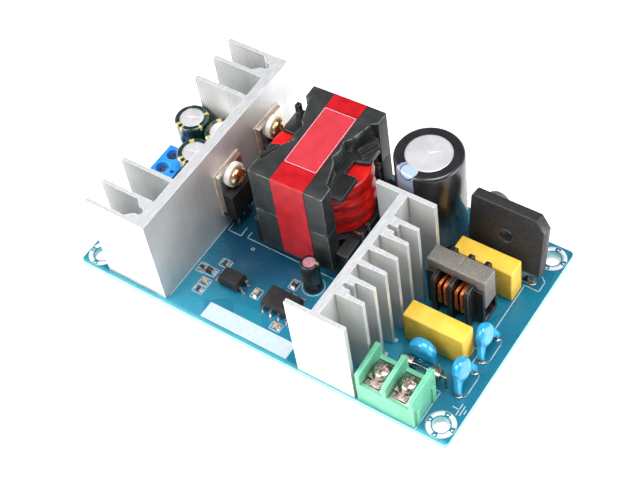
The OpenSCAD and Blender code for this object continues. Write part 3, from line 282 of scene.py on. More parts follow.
@dataclass
class Prisms:
    """Upright prisms that are gathered into one mesh."""

    verts: list[Place] = field(default_factory=list)
    faces: list[tuple[int, ...]] = field(default_factory=list)

    def add(self, corners: Sequence[Point], low: float, high: float) -> None:
        """Adds one prism.

        Args:
            corners: Its corners, which turn left.
            low: Height of its lower face.
            high: Height of its upper face.
        """
        base, n = len(self.verts), len(corners)
        self.verts += [(x, y, z) for z in (low, high) for x, y in corners]
        self.faces.append(tuple(base + n + i for i in range(n)))
        self.faces.append(tuple(base + i for i in reversed(range(n))))
        for i in range(n):
            j = (i + 1) % n
            self.faces.append((base + i, base + j, base + n + j, base + n + i))

    def box(self, low: Vector, high: Vector) -> None:
        """Adds one box between two corners."""
        self.add([(low.x, low.y), (high.x, low.y), (high.x, high.y), (low.x, high.y)],
                 low.z, high.z)

    def piece(self, name: str, material: Material, smooth: bool = False) -> Object:
        """The prisms as one object."""
        return mesh_object(name, self.verts, self.faces, material, smooth)


# ---- node trees ------------------------------------------------------------------------


# Values of a noise between which clouds, grain and fibres go from none to full
CLOUD_BAND, GRAIN_BAND, FIBRE_BAND = (0.38, 0.66), (0.3, 0.7), (0.35, 0.65)
# Heights of a normal between which a face counts as flat
UPRIGHT_TO_FLAT = (0.6, 0.8)
# Turn of a rounded normal, as a cosine, between which the painted edge highlight shows
EDGE_BAND = (0.985, 0.86)
# Light that each open spot sees, between which the painted shade in a groove fades out
GROOVE_BAND = (0.35, 0.85)


class Graph:
    """A node tree that takes nodes and sums."""

    tree: Tree

    def add(self, kind: str, inputs: dict[Any, Any] | None = None,
            **settings: Any) -> Node:
        """Adds a node with its settings, values and links.

        Args:
            kind: Blender's name of the node type.
            inputs: A value or an output socket for each input's name or number.
            settings: The node's own properties.

        Returns:
            The new node.
        """
        node = self.tree.nodes.new(kind)
        for key, value in settings.items():
            setattr(node, key, value)
        for key, value in (inputs or {}).items():
            if isinstance(value, Socket):
                self.tree.links.new(value, node.inputs[key])
            else:
                node.inputs[key].default_value = value
        return node

    def sums(self, operation: str, first: Any, second: Any = 0.0) -> Socket:
        """One sum of two values."""
        return self.add("ShaderNodeMath", {0: first, 1: second},
                        operation=operation).outputs[0]


@dataclass
class Shade(Graph):
    """The tree of a material or surround, emptied, with what the finishes share.

    Attributes:
        tree: The tree.
        coords: The node of the texture coordinates.
    """

    tree: Tree
    coords: Node = field(init=False)

    def __post_init__(self) -> None:
        """Empties the tree and adds the coordinates."""
        self.tree.nodes.clear()
        self.coords = self.add("ShaderNodeTexCoord")

    @property
    def place(self) -> Socket:
        """The place on the piece."""
        return self.coords.outputs["Object"]

    def noise(self, size: float, detail: float = 3.0,
              stretch: Place = (1.0, 1.0, 1.0)) -> Socket:
        """A noise whose features are size across, drawn out by stretch."""
        drawn = self.add("ShaderNodeMapping", {
            "Vector": self.place, "Scale": tuple(1 / s for s in stretch)})
        return self.add("ShaderNodeTexNoise", {
            "Vector": drawn.outputs["Vector"], "Scale": 1 / (size * MM),
            "Detail": detail}).outputs["Fac"]

    def mix(self, share: Any, first: Any, second: Any) -> Socket:
        """The colour between two colours, each a hex value or a socket."""
        a, b = (linear(c) if isinstance(c, str) else c for c in (first, second))
        return self.add("ShaderNodeMix", {0: share, 6: a, 7: b},
                        data_type="RGBA").outputs[2]

    def part(self, share: Any, weight: Any) -> Socket:
        """A share that is scaled down by a weight."""
        return self.sums("MULTIPLY", share, weight)

    def ramp(self, value: Socket, low: float, high: float) -> Socket:
        """0 where the value is under low, 1 over high, smooth between."""
        return self.add("ShaderNodeMapRange", {
            "Value": value, "From Min": low, "From Max": high},
            interpolation_type="SMOOTHSTEP").outputs["Result"]

    def off(self, value: Socket, middle: Any) -> Socket:
        """How far a value lies from a middle."""
        return self.sums("ABSOLUTE", self.sums("SUBTRACT", value, middle))

    def away(self, spot: Place) -> Socket:
        """How far the place lies from a spot, in metres."""
        return self.add("ShaderNodeVectorMath", {
            0: self.place, 1: tuple(v * MM for v in spot)},
            operation="DISTANCE").outputs["Value"]

    def facing_up(self) -> Socket:
        """1 on faces that look up or down, 0 on upright ones."""
        true = self.add("ShaderNodeNewGeometry").outputs["True Normal"]
        height = self.add("ShaderNodeSeparateXYZ", {"Vector": true}).outputs["Z"]
        return self.ramp(self.sums("ABSOLUTE", height), *UPRIGHT_TO_FLAT)


# ---- finishes --------------------------------------------------------------------------


@dataclass(frozen=True)
class Finish:
    """A surface: colour with soft clouds in it, fine grain, and a painted highlight along
    its sharp edges.

    Attributes:
        name: The material's plain name.
        colour: Main colour.
        second: Colour of the clouds.
        cloud: Size of the clouds.
        roughness: Middle roughness.
        spread: How far the grain moves the roughness.
        metallic: 1 for a bare metal.
        coat: Weight of a clear layer.
        grain: Size of the grain.
        depth: Height of the grain.
        stretch: How far the grain is drawn out along X, Y and Z.
        edge: Colour of the painted highlight at sharp edges, or nothing.
        edge_width: Width of that painted highlight.
        highlight_breakup: 0 paints the highlight evenly on every edge, 1 breaks it up.
        subsurface: Weight of light that spreads under the surface.
        specular: Strength of the bare surface's reflection, 0.5 for plastics.
    """

    name: str
    colour: str
    second: str
    cloud: float = 6.0
    roughness: float = 0.5
    spread: float = 0.1
    metallic: float = 0.0
    coat: float = 0.0
    grain: float = 0.3
    depth: float = 0.01
    stretch: Place = (1.0, 1.0, 1.0)
    edge: str = ""
    edge_width: float = 0.15
    highlight_breakup: float = 0.5
    subsurface: float = 0.0
    specular: float = 0.5

    @functools.cache
    def material(self) -> Material:
        """The finish as a material, built once."""
        made = bpy.data.materials.new(self.name)
        made.use_nodes = True
        made.diffuse_color = linear(self.colour)
        self.build(Shade(made.node_tree))
        return made

    def build(self, art: Shade) -> None:
        """Builds the whole tree."""
        colour = self.colours(art)
        grain = art.noise(self.grain, 4.0, self.stretch)
        normal = self.relief(art, grain)
        if self.edge:
            colour = self.edges(art, colour)
        shader = art.add("ShaderNodeBsdfPrincipled", {
            "Base Color": colour, "Roughness": self.roughs(art, grain),
            "Metallic": self.metallic, "Normal": normal, "Coat Weight": self.coat,
            "Coat Roughness": 0.12, "Specular IOR Level": self.specular})
        if self.subsurface:
            shader.inputs["Subsurface Weight"].default_value = self.subsurface
            shader.inputs["Subsurface Scale"].default_value = 0.5 * MM
        self.tune(shader)
        art.add("ShaderNodeOutputMaterial", {"Surface": shader.outputs["BSDF"]})

    def tune(self, shader: Node) -> None:
        """Sets what only this kind of finish has on the shader."""

    def colours(self, art: Shade) -> Socket:
        """The colour before its edges."""
        return art.mix(art.ramp(art.noise(self.cloud), *CLOUD_BAND), self.colour,
                       self.second)

    def roughs(self, art: Shade, grain: Socket) -> Socket:
        """The roughness, moved by the grain."""
        return art.add("ShaderNodeMapRange", {
            "Value": grain, "From Min": GRAIN_BAND[0], "From Max": GRAIN_BAND[1],
            "To Min": max(0.02, self.roughness - self.spread),
            "To Max": min(1.0, self.roughness + self.spread)}).outputs["Result"]

    def relief(self, art: Shade, grain: Socket) -> Socket:
        """The normal that the grain gives."""
        return art.add("ShaderNodeBump", {
            "Height": grain, "Strength": 1.0,
            "Distance": self.depth * MM}).outputs["Normal"]

    def edges(self, art: Shade, colour: Socket) -> Socket:
        """Paints a highlight on the sharp edges.

        Args:
            art: The tree.
            colour: The colour without edges.

        Returns:
            The colour with a painted highlight in the edge colour on its edges, broken up
            by noise.
        """
        flat = art.add("ShaderNodeNewGeometry").outputs["True Normal"]
        soft = art.add("ShaderNodeBevel", {"Radius": self.edge_width * MM}, samples=4)
        turn = art.add("ShaderNodeVectorMath", {0: flat, 1: soft.outputs["Normal"]},
                       operation="DOT_PRODUCT").outputs["Value"]
        sharp = art.add("ShaderNodeMapRange", {
            "Value": turn, "From Min": EDGE_BAND[0],
            "From Max": EDGE_BAND[1]}).outputs["Result"]
        # Painted highlight: a noise breaks the edge highlight up into patches.
        highlight_patches = art.ramp(art.noise(1.2), 0.35 * self.highlight_breakup,
                        0.1 + 0.6 * self.highlight_breakup)
        return art.mix(art.part(sharp, highlight_patches), colour, self.edge)


@dataclass(frozen=True)
class Extrusion(Finish):
    """Extruded aluminium: lines of the die run up its sides, and its sawn ends sparkle.

    Attributes:
        lines: Colour of the die lines.
        saw: Colour of the sawn ends.
        strokes: Colour of the saw's strokes.
        groove_shade: Colour of the painted shade in narrow grooves.
        groove: Width of the grooves that get painted shade.
        dulled: How much rougher the sawn ends are.
    """

    lines: str = "#e4e4e6"
    saw: str = "#bcbdc0"
    strokes: str = "#a7a9ad"
    groove_shade: str = "#6e7276"
    groove: float = 0.7
    dulled: float = 0.3

    def colours(self, art: Shade) -> Socket:
        """Clouded sides with die lines, painted shade in narrow grooves, and sawn ends with
        strokes.
        """
        side = super().colours(art)
        lines = art.ramp(art.noise(0.5, 2.0, (1, 1, 60)), *GRAIN_BAND)
        side = art.mix(art.part(lines, 0.25), side, self.lines)
        strokes = art.ramp(art.noise(0.35, 3.0, (1.0, 9.0, 1.0)), *GRAIN_BAND)
        end = art.mix(strokes, self.saw, self.strokes)
        # Painted shade: narrow grooves that see little of the surround are darkened.
        sky = art.add("ShaderNodeAmbientOcclusion", {"Distance": self.groove * MM},
                      samples=6).outputs["AO"]
        side = art.mix(art.ramp(sky, *GROOVE_BAND), self.groove_shade, side)
        return art.mix(art.facing_up(), side, end)

    def roughs(self, art: Shade, grain: Socket) -> Socket:
        """Duller on the sawn ends."""
        return art.sums("ADD", super().roughs(art, grain),
                        art.part(art.facing_up(), self.dulled))


@dataclass(frozen=True)
class BoardMask(Finish):
    """Glossy solder mask over copper areas on glass laminate.

    Attributes:
        area: Size of the copper areas.
        foil: Thickness of the copper.
        gap: Where a gap ends and where copper is full, as shares of an area.
        bare: Colour over the gaps between them, and its share.
        painted_shade: Colour of the painted shade near the transformer, and its share.
        painted_shade_at: Middle of the painted shade.
        painted_shade_r: Its outer and inner radius, in metres.
        rim: Colour along the front rim, and its share.
        rim_y: Where the rim begins and where it is full, in metres along Y.
        laminate: Colour of the sawn board edge.
        fibre: Colour of the glass in it.
    """

    area: float = 13.0
    foil: float = 0.035
    gap: Point = (0.012, 0.03)
    bare: tuple[str, float] = ("#0b4f70", 0.12)
    painted_shade: tuple[str, float] = ("#0a3350", 0.85)
    painted_shade_at: Place = (-15.0, -3.5, 0.0)
    painted_shade_r: Point = (0.026, 0.008)
    rim: tuple[str, float] = ("#58aab4", 0.6)
    rim_y: Point = (-0.0318, -0.0329)
    laminate: str = "#6fb3b8"
    fibre: str = "#93c9ca"

    def cells(self, art: Shade, **settings: Any) -> Node:
        """The pattern of the copper areas."""
        return art.add("ShaderNodeTexVoronoi", {
            "Vector": art.place, "Scale": 1 / (self.area * MM), "Randomness": 0.8},
            **settings)

    def copper(self, art: Shade) -> Socket:
        """0 in the narrow gaps between the copper areas, 1 on them."""
        gap = self.cells(art, feature="DISTANCE_TO_EDGE").outputs["Distance"]
        return art.ramp(gap, *self.gap)

    def colours(self, art: Shade) -> Socket:
        """Teal mask, darker between copper areas, with painted shade in the middle near the
        transformer, pale at the sides.
        """
        shade = art.add("ShaderNodeSeparateColor", {
            "Color": self.cells(art).outputs["Color"]}).outputs["Red"]
        mask = art.mix(art.ramp(shade, 0.1, 0.9), self.colour, self.second)
        y = art.add("ShaderNodeSeparateXYZ", {"Vector": art.place}).outputs["Y"]
        # Painted shade: the mask darkens around a spot near the transformer's front.
        for share, (colour, weight) in (
                (art.sums("SUBTRACT", 1.0, self.copper(art)), self.bare),
                (art.ramp(art.away(self.painted_shade_at), *self.painted_shade_r), self.painted_shade),
                (art.ramp(y, *self.rim_y), self.rim)):
            mask = art.mix(art.part(share, weight), mask, colour)
        glass = art.ramp(art.noise(0.25, 2.0, (4.0, 4.0, 1.0)), *FIBRE_BAND)
        side = art.mix(glass, self.laminate, self.fibre)
        return art.mix(art.facing_up(), side, mask)

    def relief(self, art: Shade, grain: Socket) -> Socket:
        """Copper that stands up by its foil thickness, under a faint orange peel."""
        foil = art.add("ShaderNodeBump", {
            "Height": self.copper(art), "Strength": 0.5, "Distance": self.foil * MM})
        return art.add("ShaderNodeBump", {
            "Height": grain, "Strength": 1.0, "Distance": self.depth * MM,
            "Normal": foil.outputs["Normal"]}).outputs["Normal"]


@dataclass(frozen=True)
class Sleeve(Finish):
    """Shrink sleeve of a can. Its UV map holds the turn about the can and the height.

    Attributes:
        bars: Middle and width of each printed bar, in turns from -X.
        print_colour: Colour of the bars.
        lowest: Height under which the bars stop, as a share of the can.
    """

    bars: tuple[Point, ...] = ()
    print_colour: str = "#d9dfe8"
    lowest: float = 0.0

    def colours(self, art: Shade) -> Socket:
        """The sleeve's colour with its printed bars."""
        sleeve = super().colours(art)
        around = art.add("ShaderNodeUVMap", uv_map="wrap").outputs["UV"]
        parts = art.add("ShaderNodeSeparateXYZ", {"Vector": around})
        high = art.ramp(parts.outputs["Y"], self.lowest, self.lowest + 0.01)
        for middle, width in self.bars:
            inside = art.ramp(art.off(parts.outputs["X"], middle), width / 2 + 0.003,
                              width / 2)
            sleeve = art.mix(art.part(inside, high), sleeve, self.print_colour)
        return sleeve


@dataclass(frozen=True)
class FlagSleeve(Sleeve):
    """Sleeve whose bar ends on the can's top in a round outlined flag.

    Attributes:
        flag_at: Middle of the flag.
        flag_r: Radius of its outline.
        flag_colour: Colour inside the outline.
        flag_line: Colour of the outline.
    """

    flag_at: Place = (0.0, 0.0, 0.0)
    flag_r: float = 1.9
    flag_colour: str = "#dbe6f4"
    flag_line: str = "#16161c"

    def colours(self, art: Shade) -> Socket:
        """The sleeve with its bar and the flag on its rim."""
        sleeve = super().colours(art)
        away = art.away(self.flag_at)
        inside = art.ramp(away, self.flag_r * MM, (self.flag_r - 0.1) * MM)
        sleeve = art.mix(inside, sleeve, self.flag_colour)
        ring = art.ramp(art.off(away, self.flag_r * MM), 0.17 * MM, 0.1 * MM)
        return art.mix(ring, sleeve, self.flag_line)


@dataclass(frozen=True)
class Glass(Finish):
    """Clear drawn glass."""

    def tune(self, shader: Node) -> None:
        """Lets light through, with the bend of soda glass."""
        shader.inputs["Transmission Weight"].default_value = 1.0
        shader.inputs["IOR"].default_value = 1.5


@dataclass(frozen=True)
class Paper(Finish):
    """White paper with light behind it.

    Attributes:
        glow: Strength of its own light.
    """

    glow: float = 0.35

    def tune(self, shader: Node) -> None:
        """Lights the paper from behind."""
        shader.inputs["Emission Color"].default_value = linear(self.colour)
        shader.inputs["Emission Strength"].default_value = self.glow


class Stuff(Enum):
    """What the object's pieces are made of."""

    # Epoxy solder mask, curtain coated: teal with a soft gloss and copper shapes under it
    MASK = BoardMask("solder_mask", "#0f6680", "#1f7890", roughness=0.3, spread=0.04,
        coat=0.12, grain=3.0, depth=0.001, specular=0.4)
    # Printed epoxy ink: chalk white, a little uneven
    INK = Finish("white_ink", "#abb9c0", "#a4b3bb", 1.5, roughness=0.7, grain=0.2,
        depth=0.006)
    # Bare tinned rings around the mounting holes: pale and matt
    RING = Finish("tinned_ring", "#d5dddf", "#c3cccf", 1.5, roughness=0.6, grain=0.2,
        depth=0.006)
    # Reflowed tin: bright, rounded, slightly clouded
    TIN = Finish("solder_tin", "#c9cbce", "#9ea2a6", 1.0, roughness=0.3, metallic=1.0,
        grain=0.5, depth=0.02)
    # Extruded aluminium, mill finish: die lines along its length, pale sawn ends, painted
    # shade in narrow grooves and a painted highlight on its edges
    EXTRUSION = Extrusion("extruded_aluminium", "#c3c6c5", "#d3d3d0", 14.0, roughness=0.42,
        spread=0.08, metallic=0.55, grain=0.25, stretch=(1.0, 1.0, 40.0), edge="#f4f4f6",
        edge_width=0.22, highlight_breakup=0.2)
    # Tinned steel and copper wire: soft satin grey
    TINNED = Finish("tinned_wire", "#bdbdbf", "#8f9093", 1.5, roughness=0.3, metallic=1.0,
        grain=0.4, depth=0.006)
    # Stamped and plated copper frame: warm satin silver, with a painted pale highlight on
    # its edges
    FRAME = Finish("plated_frame", "#ddd3c6", "#bdb1a5", 3.0, roughness=0.34, metallic=1.0,
        depth=0.006, stretch=(1, 12, 1), edge="#f3efe8", edge_width=0.12, highlight_breakup=0.3)
    # Transfer moulded epoxy: black, matt from a blasted mould, with a painted grey
    # highlight on its edges
    EPOXY = Finish("moulded_epoxy", "#161516", "#211f20", 4.0, roughness=0.55, grain=0.16,
        depth=0.012, edge="#55524f", edge_width=0.12, specular=0.35)
    # The same for the tall bridge: speckled grey black face with a painted grey highlight
    # on its edges
    BRIDGE = Finish("bridge_epoxy", "#1b1a1c", "#2a282a", 0.6, roughness=0.6, grain=0.18,
        depth=0.014, edge="#6f6c6e", edge_width=0.3, highlight_breakup=0.3, specular=0.35)
    # Silicone pad with glass cloth: cream with a pink cast, dull
    PAD = Finish("silicone_pad", "#d8c7bb", "#c9aea6", 2.0, roughness=0.75)
    # Turned nylon: warm white, light sinks in
    NYLON = Finish("nylon", "#efece6", "#ddd7cc", 2.0, roughness=0.4, depth=0.004,
        subsurface=0.4)
    # Zinc plated steel, yellow passivated: gold with pink and green casts
    ZINC = Finish("yellow_zinc", "#cdb87c", "#b98f86", 0.9, roughness=0.28, metallic=1.0,
        depth=0.006)
    # Sintered ferrite, ground: dark grey green, with a pale painted highlight in patches on
    # its edges
    FERRITE = Finish("ground_ferrite", "#181b1b", "#232626", 3.0, grain=0.14, depth=0.02,
        edge="#b9bdbd", edge_width=0.2, highlight_breakup=0.9, specular=0.45)
    # Phenolic moulding of the bobbin: black with satin sheen and a painted grey highlight
    # on its edges
    PHENOLIC = Finish("phenolic", "#111213", "#1b1c1d", 3.0, roughness=0.4, depth=0.012,
        edge="#85888b", edge_width=0.12, highlight_breakup=0.55, specular=0.4)
    # Polyester film tape: glossy red, with fine creases
    TAPE = Finish("polyester_tape", "#960912", "#ab111a", 5.0, roughness=0.4, spread=0.08,
        coat=0.1, grain=1.6, depth=0.03, specular=0.25)
    # The same tape wound tight over wire: strong gloss
    WINDING = Finish("winding_tape", "#b50809", "#cc100c", 4.0, roughness=0.38, spread=0.05,
        coat=0.2, grain=2.0, specular=0.35)
    # Printed label film: lighter red, softer gloss
    LABEL = Finish("label_film", "#b02d38", "#a72833", 4.0, roughness=0.45, spread=0.06,
        coat=0.1, grain=0.5, specular=0.35)
    # Tinned copper wire of the winding: pinkish silver
    PINK_WIRE = Finish("pink_tinned_copper", "#d0a49a", "#b58478", 1.2, roughness=0.25,
        metallic=1.0, grain=0.4)
    # Deep drawn aluminium can: bright satin
    CAN = Finish("drawn_aluminium", "#cccbce", "#c2c0c5", 4.0, roughness=0.4, metallic=0.5,
        depth=0.004)
    # The small can beside the transformer: its top is tinted rose as a painted reflection,
    # with a painted highlight on its edges
    REFLECTION_TINTED_CAN = Finish("aluminium_painted_reflection", "#b98795", "#a87483", 1.2, roughness=0.45,
        metallic=0.4, depth=0.006, edge="#e3d3c4", highlight_breakup=0.3)
    # Polyester sleeve of the bulk capacitor: black gloss, pale bar with a flag
    BULK_SLEEVE = FlagSleeve("black_shrink_sleeve", "#141417", "#1d1d21", 4.0,
        roughness=0.3, spread=0.04, coat=0.3, grain=3.0, depth=0.003,
        bars=((0.207, 0.105),), print_colour="#7f8ca1", flag_at=(20.4, 14.9, 33.4),
        flag_r=2.4, flag_colour="#93a3b8")
    # Polyester sleeve of the output capacitors: dark green with yellow bars
    GREEN_SLEEVE = Sleeve("green_shrink_sleeve", "#0e2423", "#122e2d", 3.0, roughness=0.22,
        spread=0.04, coat=0.6, grain=1.2,
        bars=((0.17, 0.03), (0.24, 0.02), (0.44, 0.02), (0.63, 0.03), (0.88, 0.05)),
        print_colour="#a89a58", lowest=0.93)
    # Polyester sleeve of the small capacitor: near black
    DARK_SLEEVE = Sleeve("dark_sleeve", "#12100f", "#1f1a17", 1.0, roughness=0.4,
        spread=0.06, coat=0.15, grain=0.8, depth=0.012, specular=0.35, bars=((0.55, 0.05),),
        print_colour="#8d8a72", lowest=0.9)
    # Shrink tube of the rod choke: grey brown
    TUBE = Finish("shrink_tube", "#5d5453", "#4a4341", 2.0, roughness=0.45, grain=0.6,
        depth=0.02)
    # Moulded polyester case: warm yellow with a fine spark texture and a painted pale
    # highlight on its edges
    YELLOW = Finish("yellow_moulding", "#d9b035", "#e2bb45", 4.0, grain=0.22, depth=0.03,
        edge="#f6dd7c", edge_width=0.35, highlight_breakup=0.1, subsurface=0.1)
    # Dipped epoxy over a ceramic disc: thick blue gloss
    DIPPED = Finish("dipped_epoxy", "#1b8fc4", "#2ea6d8", 2.0, roughness=0.22, spread=0.04,
        coat=0.5, grain=1.6, depth=0.03)
    # Silicone coated ceramic of the inrush limiter: dull brownish grey
    CERAMIC = Finish("coated_ceramic", "#55504e", "#6a6461", 2.0, roughness=0.6, grain=0.4,
        depth=0.03)
    # Ground choke ferrite: grey brown with speckles and a painted pale highlight on its
    # edges
    CHOKE = Finish("speckled_ferrite", "#615d58", "#78736d", 0.35, roughness=0.45,
        spread=0.15, grain=0.16, depth=0.03, edge="#cfcac3", edge_width=0.25, highlight_breakup=0.6)
    # Enamelled copper wire: orange with clear gloss
    COPPER = Finish("enamelled_copper", "#e08350", "#c4622f", 1.5, roughness=0.35,
        metallic=0.8, coat=0.3, grain=0.6)
    # Drawn glass tube
    GLASS = Glass("drawn_glass", "#f4fbfb", "#f4fbfb", roughness=0.04, spread=0.01,
        grain=2.0, depth=0.002)
    # Nickel plated brass: warm mirror with small clouds and a painted pale highlight on its
    # edges
    NICKEL = Finish("nickel_plate", "#b3a99f", "#8c8077", 1.5, roughness=0.3, metallic=1.0,
        grain=0.5, depth=0.012, edge="#e9e0d6", edge_width=0.12, highlight_breakup=0.2)
    # Moulded polyamide: mint green, light sinks in a little, with a painted pale highlight
    # on its edges
    GREEN = Finish("green_polyamide", "#59a888", "#65b393", 4.0, roughness=0.4, spread=0.06,
        grain=0.5, edge="#92dcb4", edge_width=0.22, highlight_breakup=0.2, subsurface=0.25)
    # Moulded polyamide of the output terminal: bright blue, with a painted pale highlight
    # on its edges
    BLUE = Finish("blue_polyamide", "#1f7ccc", "#2787d6", 4.0, roughness=0.38, spread=0.06,
        grain=0.5, edge="#6db4ee", edge_width=0.2, highlight_breakup=0.3, subsurface=0.15)
    # Sintered chip bodies: tan dielectric
    CHIP_TAN = Finish("tan_dielectric", "#9c8468", "#ae967a", 0.8, grain=0.2, depth=0.008)
    # Printed glass over a chip resistor: black
    CHIP_BLACK = Finish("black_overglaze", "#232224", "#2d2c2e", 0.8, roughness=0.4,
        grain=0.2, depth=0.006)

    def material(self) -> Material:
        """The material of this stuff."""
        return self.value.material()


# ---- repeated pieces by Geometry Nodes -------------------------------------------------


@dataclass
class Recipe(Graph):
    """A Geometry Nodes tree with named inputs for its sizes.

    Attributes:
        name: Name of the tree.
        sizes: Each input's name and value, in metres or as a plain number.
        material: What Set Material gives.
    """

    name: str
    sizes: dict[str, float]
    material: Material
    tree: Tree = field(init=False)
    given: Node = field(init=False)

    def __post_init__(self) -> None:
        """Makes the empty tree with its inputs."""
        self.tree = bpy.data.node_groups.new(self.name, "GeometryNodeTree")
        face = self.tree.interface
        face.new_socket("Geometry", in_out="INPUT", socket_type="NodeSocketGeometry")
        for name in self.sizes:
            face.new_socket(name, in_out="INPUT", socket_type="NodeSocketFloat")
        face.new_socket("Geometry", in_out="OUTPUT", socket_type="NodeSocketGeometry")
        self.given = self.tree.nodes.new("NodeGroupInput")

    def size(self, name: str) -> Socket:
        """The socket that gives a size."""
        return self.given.outputs[name]

    def finish(self, shape: Socket) -> "Recipe":
        """Puts a shape on each point, ends in Realize Instances and Set Material.

        Args:
            shape: What stands on each point.

        Returns:
            The recipe itself.
        """
        spread = self.add("GeometryNodeInstanceOnPoints", {
            "Points": self.given.outputs["Geometry"], "Instance": shape})
        real = self.add("GeometryNodeRealizeInstances", {
            "Geometry": spread.outputs["Instances"]})
        dressed = self.add("GeometryNodeSetMaterial", {
            "Geometry": real.outputs["Geometry"], "Material": self.material})
        self.add("NodeGroupOutput", {"Geometry": dressed.outputs["Geometry"]})
        return self

    def grow(self, name: str, points: Sequence[Place]) -> Object:
        """Runs the tree on points and keeps the result as a plain mesh.

        Args:
            name: Name of the new piece.
            points: Where the copies go.

        Returns:
            The piece.
        """
        made = mesh_object(name, points, [])
        runner = made.modifiers.new(self.name, "NODES")
        runner.node_group = self.tree
        for item in self.tree.interface.items_tree:
            if item.item_type == "SOCKET" and item.name in self.sizes:
                runner[item.identifier] = float(self.sizes[item.name])
        return bake(made)


def pad_rings(material: Material, radius: float, ring: float, rise: float) -> Recipe:
    """Low rings of tin around leads.

    Args:
        material: The tin.
        radius: Radius of the ring's middle line.
        ring: Half the ring's width.
        rise: Its height as a share of that.

    Returns:
        The recipe, which puts one ring on each point.
    """
    made = Recipe("pad_rings", {"Radius": radius * MM, "Ring": ring * MM, "Rise": rise},
                  material)
    line = made.add("GeometryNodeCurvePrimitiveCircle", {
        "Resolution": 24, "Radius": made.size("Radius")})
    section = made.add("GeometryNodeCurvePrimitiveCircle", {
        "Resolution": 8, "Radius": made.size("Ring")})
    ring_mesh = made.add("GeometryNodeCurveToMesh", {
        "Curve": line.outputs["Curve"], "Profile Curve": section.outputs["Curve"]})
    flat = made.add("ShaderNodeCombineXYZ", {0: 1.0, 1: 1.0, 2: made.size("Rise")})
    low = made.add("GeometryNodeTransform", {
        "Geometry": ring_mesh.outputs["Mesh"], "Scale": flat.outputs["Vector"]})
    smooth = made.add("GeometryNodeSetShadeSmooth", {
        "Geometry": low.outputs["Geometry"]})
    return made.finish(smooth.outputs[0])


def ring_marks(material: Material, radius: float, band: float, rise: float,
               gap: float) -> Recipe:
    """Four printed arcs around each point, with gaps along X and Y.

    Args:
        material: The ink.
        radius: Radius of the arcs' middle line.
        band: Width of the arcs.
        rise: Their thickness.
        gap: The gap between arcs, in degrees.

    Returns:
        The recipe, which puts one set of arcs on each point.
    """
    made = Recipe("ring_marks", {
        "Radius": radius * MM, "Band": band * MM, "Rise": rise * MM,
        "Gap": math.radians(gap)}, material)
    quarter = math.pi / 2
    arc = made.add("GeometryNodeCurveArc", {
        "Resolution": 16, "Radius": made.size("Radius"),
        "Start Angle": made.sums("MULTIPLY", made.size("Gap"), 0.5),
        "Sweep Angle": made.sums("SUBTRACT", quarter, made.size("Gap"))})
    section = made.add("GeometryNodeCurvePrimitiveQuadrilateral", {
        "Width": made.size("Band"), "Height": made.size("Rise")})
    part = made.add("GeometryNodeCurveToMesh", {
        "Curve": arc.outputs["Curve"], "Profile Curve": section.outputs["Curve"],
        "Fill Caps": True})
    turns = made.add("GeometryNodeMeshLine", {"Count": 4, "Offset": (0.0, 0.0, 0.0)})
    index = made.add("GeometryNodeInputIndex").outputs[0]
    facing = made.add("ShaderNodeCombineXYZ", {2: made.sums("MULTIPLY", index, quarter)})
    four = made.add("GeometryNodeInstanceOnPoints", {
        "Points": turns.outputs["Mesh"], "Instance": part.outputs["Mesh"],
        "Rotation": facing.outputs["Vector"]})
    return made.finish(four.outputs["Instances"])


def wire_turns(material: Material, width: float, height: float, wire: float,
               pitch: float, count: int, slack: float) -> Recipe:
    """Turns of round wire side by side around a bar that runs along X.

    Args:
        material: The wire.
        width: Width of a turn's middle line across the bar.
        height: Its height.
        wire: Diameter of the wire.
        pitch: Distance from turn to turn.
        count: How many turns.
        slack: How far a turn may swell, as a share.

    Returns:
        The recipe, which winds one coil around each point.
    """
    corner, leaning = 0.9 * MM, (0.0, 0.05, 0.08)
    made = Recipe("wire_turns", {
        "Width": width * MM, "Height": height * MM, "Wire": wire * MM,
        "Pitch": pitch * MM, "Turns": float(count), "Slack": slack}, material)
    loop = made.add("GeometryNodeCurvePrimitiveQuadrilateral", {
        "Width": made.size("Width"), "Height": made.size("Height")})
    round_loop = made.add("GeometryNodeFilletCurve", {
        "Curve": loop.outputs["Curve"], "Radius": corner, "Count": 4}, mode="POLY")
    upright = made.add("GeometryNodeTransform", {
        "Geometry": round_loop.outputs["Curve"],
        "Rotation": (math.pi / 2, 0.0, math.pi / 2)})
    section = made.add("GeometryNodeCurvePrimitiveCircle", {
        "Resolution": 8, "Radius": made.sums("MULTIPLY", made.size("Wire"), 0.5)})
    turn = made.add("GeometryNodeCurveToMesh", {
        "Curve": upright.outputs["Geometry"], "Profile Curve": section.outputs["Curve"]})
    smooth = made.add("GeometryNodeSetShadeSmooth", {"Geometry": turn.outputs["Mesh"]})
    half = made.sums("MULTIPLY", made.sums("SUBTRACT", made.size("Turns"), 1.0),
                     made.sums("MULTIPLY", made.size("Pitch"), -0.5))
    start = made.add("ShaderNodeCombineXYZ", {0: half})
    step = made.add("ShaderNodeCombineXYZ", {0: made.size("Pitch")})
    line = made.add("GeometryNodeMeshLine", {
        "Count": made.size("Turns"), "Start Location": start.outputs["Vector"],
        "Offset": step.outputs["Vector"]})
    lean = made.add("FunctionNodeRandomValue", {
        "Min": tuple(-angle for angle in leaning), "Max": leaning, "Seed": 5},
        data_type="FLOAT_VECTOR")
    low = made.sums("SUBTRACT", 1.0, made.size("Slack"))
    swell = made.add("FunctionNodeRandomValue", {2: low, 3: 1.0, "Seed": 8},
                     data_type="FLOAT")
    coil = made.add("GeometryNodeInstanceOnPoints", {
        "Points": line.outputs["Mesh"], "Instance": smooth.outputs[0],
        "Rotation": lean.outputs[0], "Scale": swell.outputs[1]})
    return made.finish(coil.outputs["Instances"])


# ---- board -----------------------------------------------------------------------------


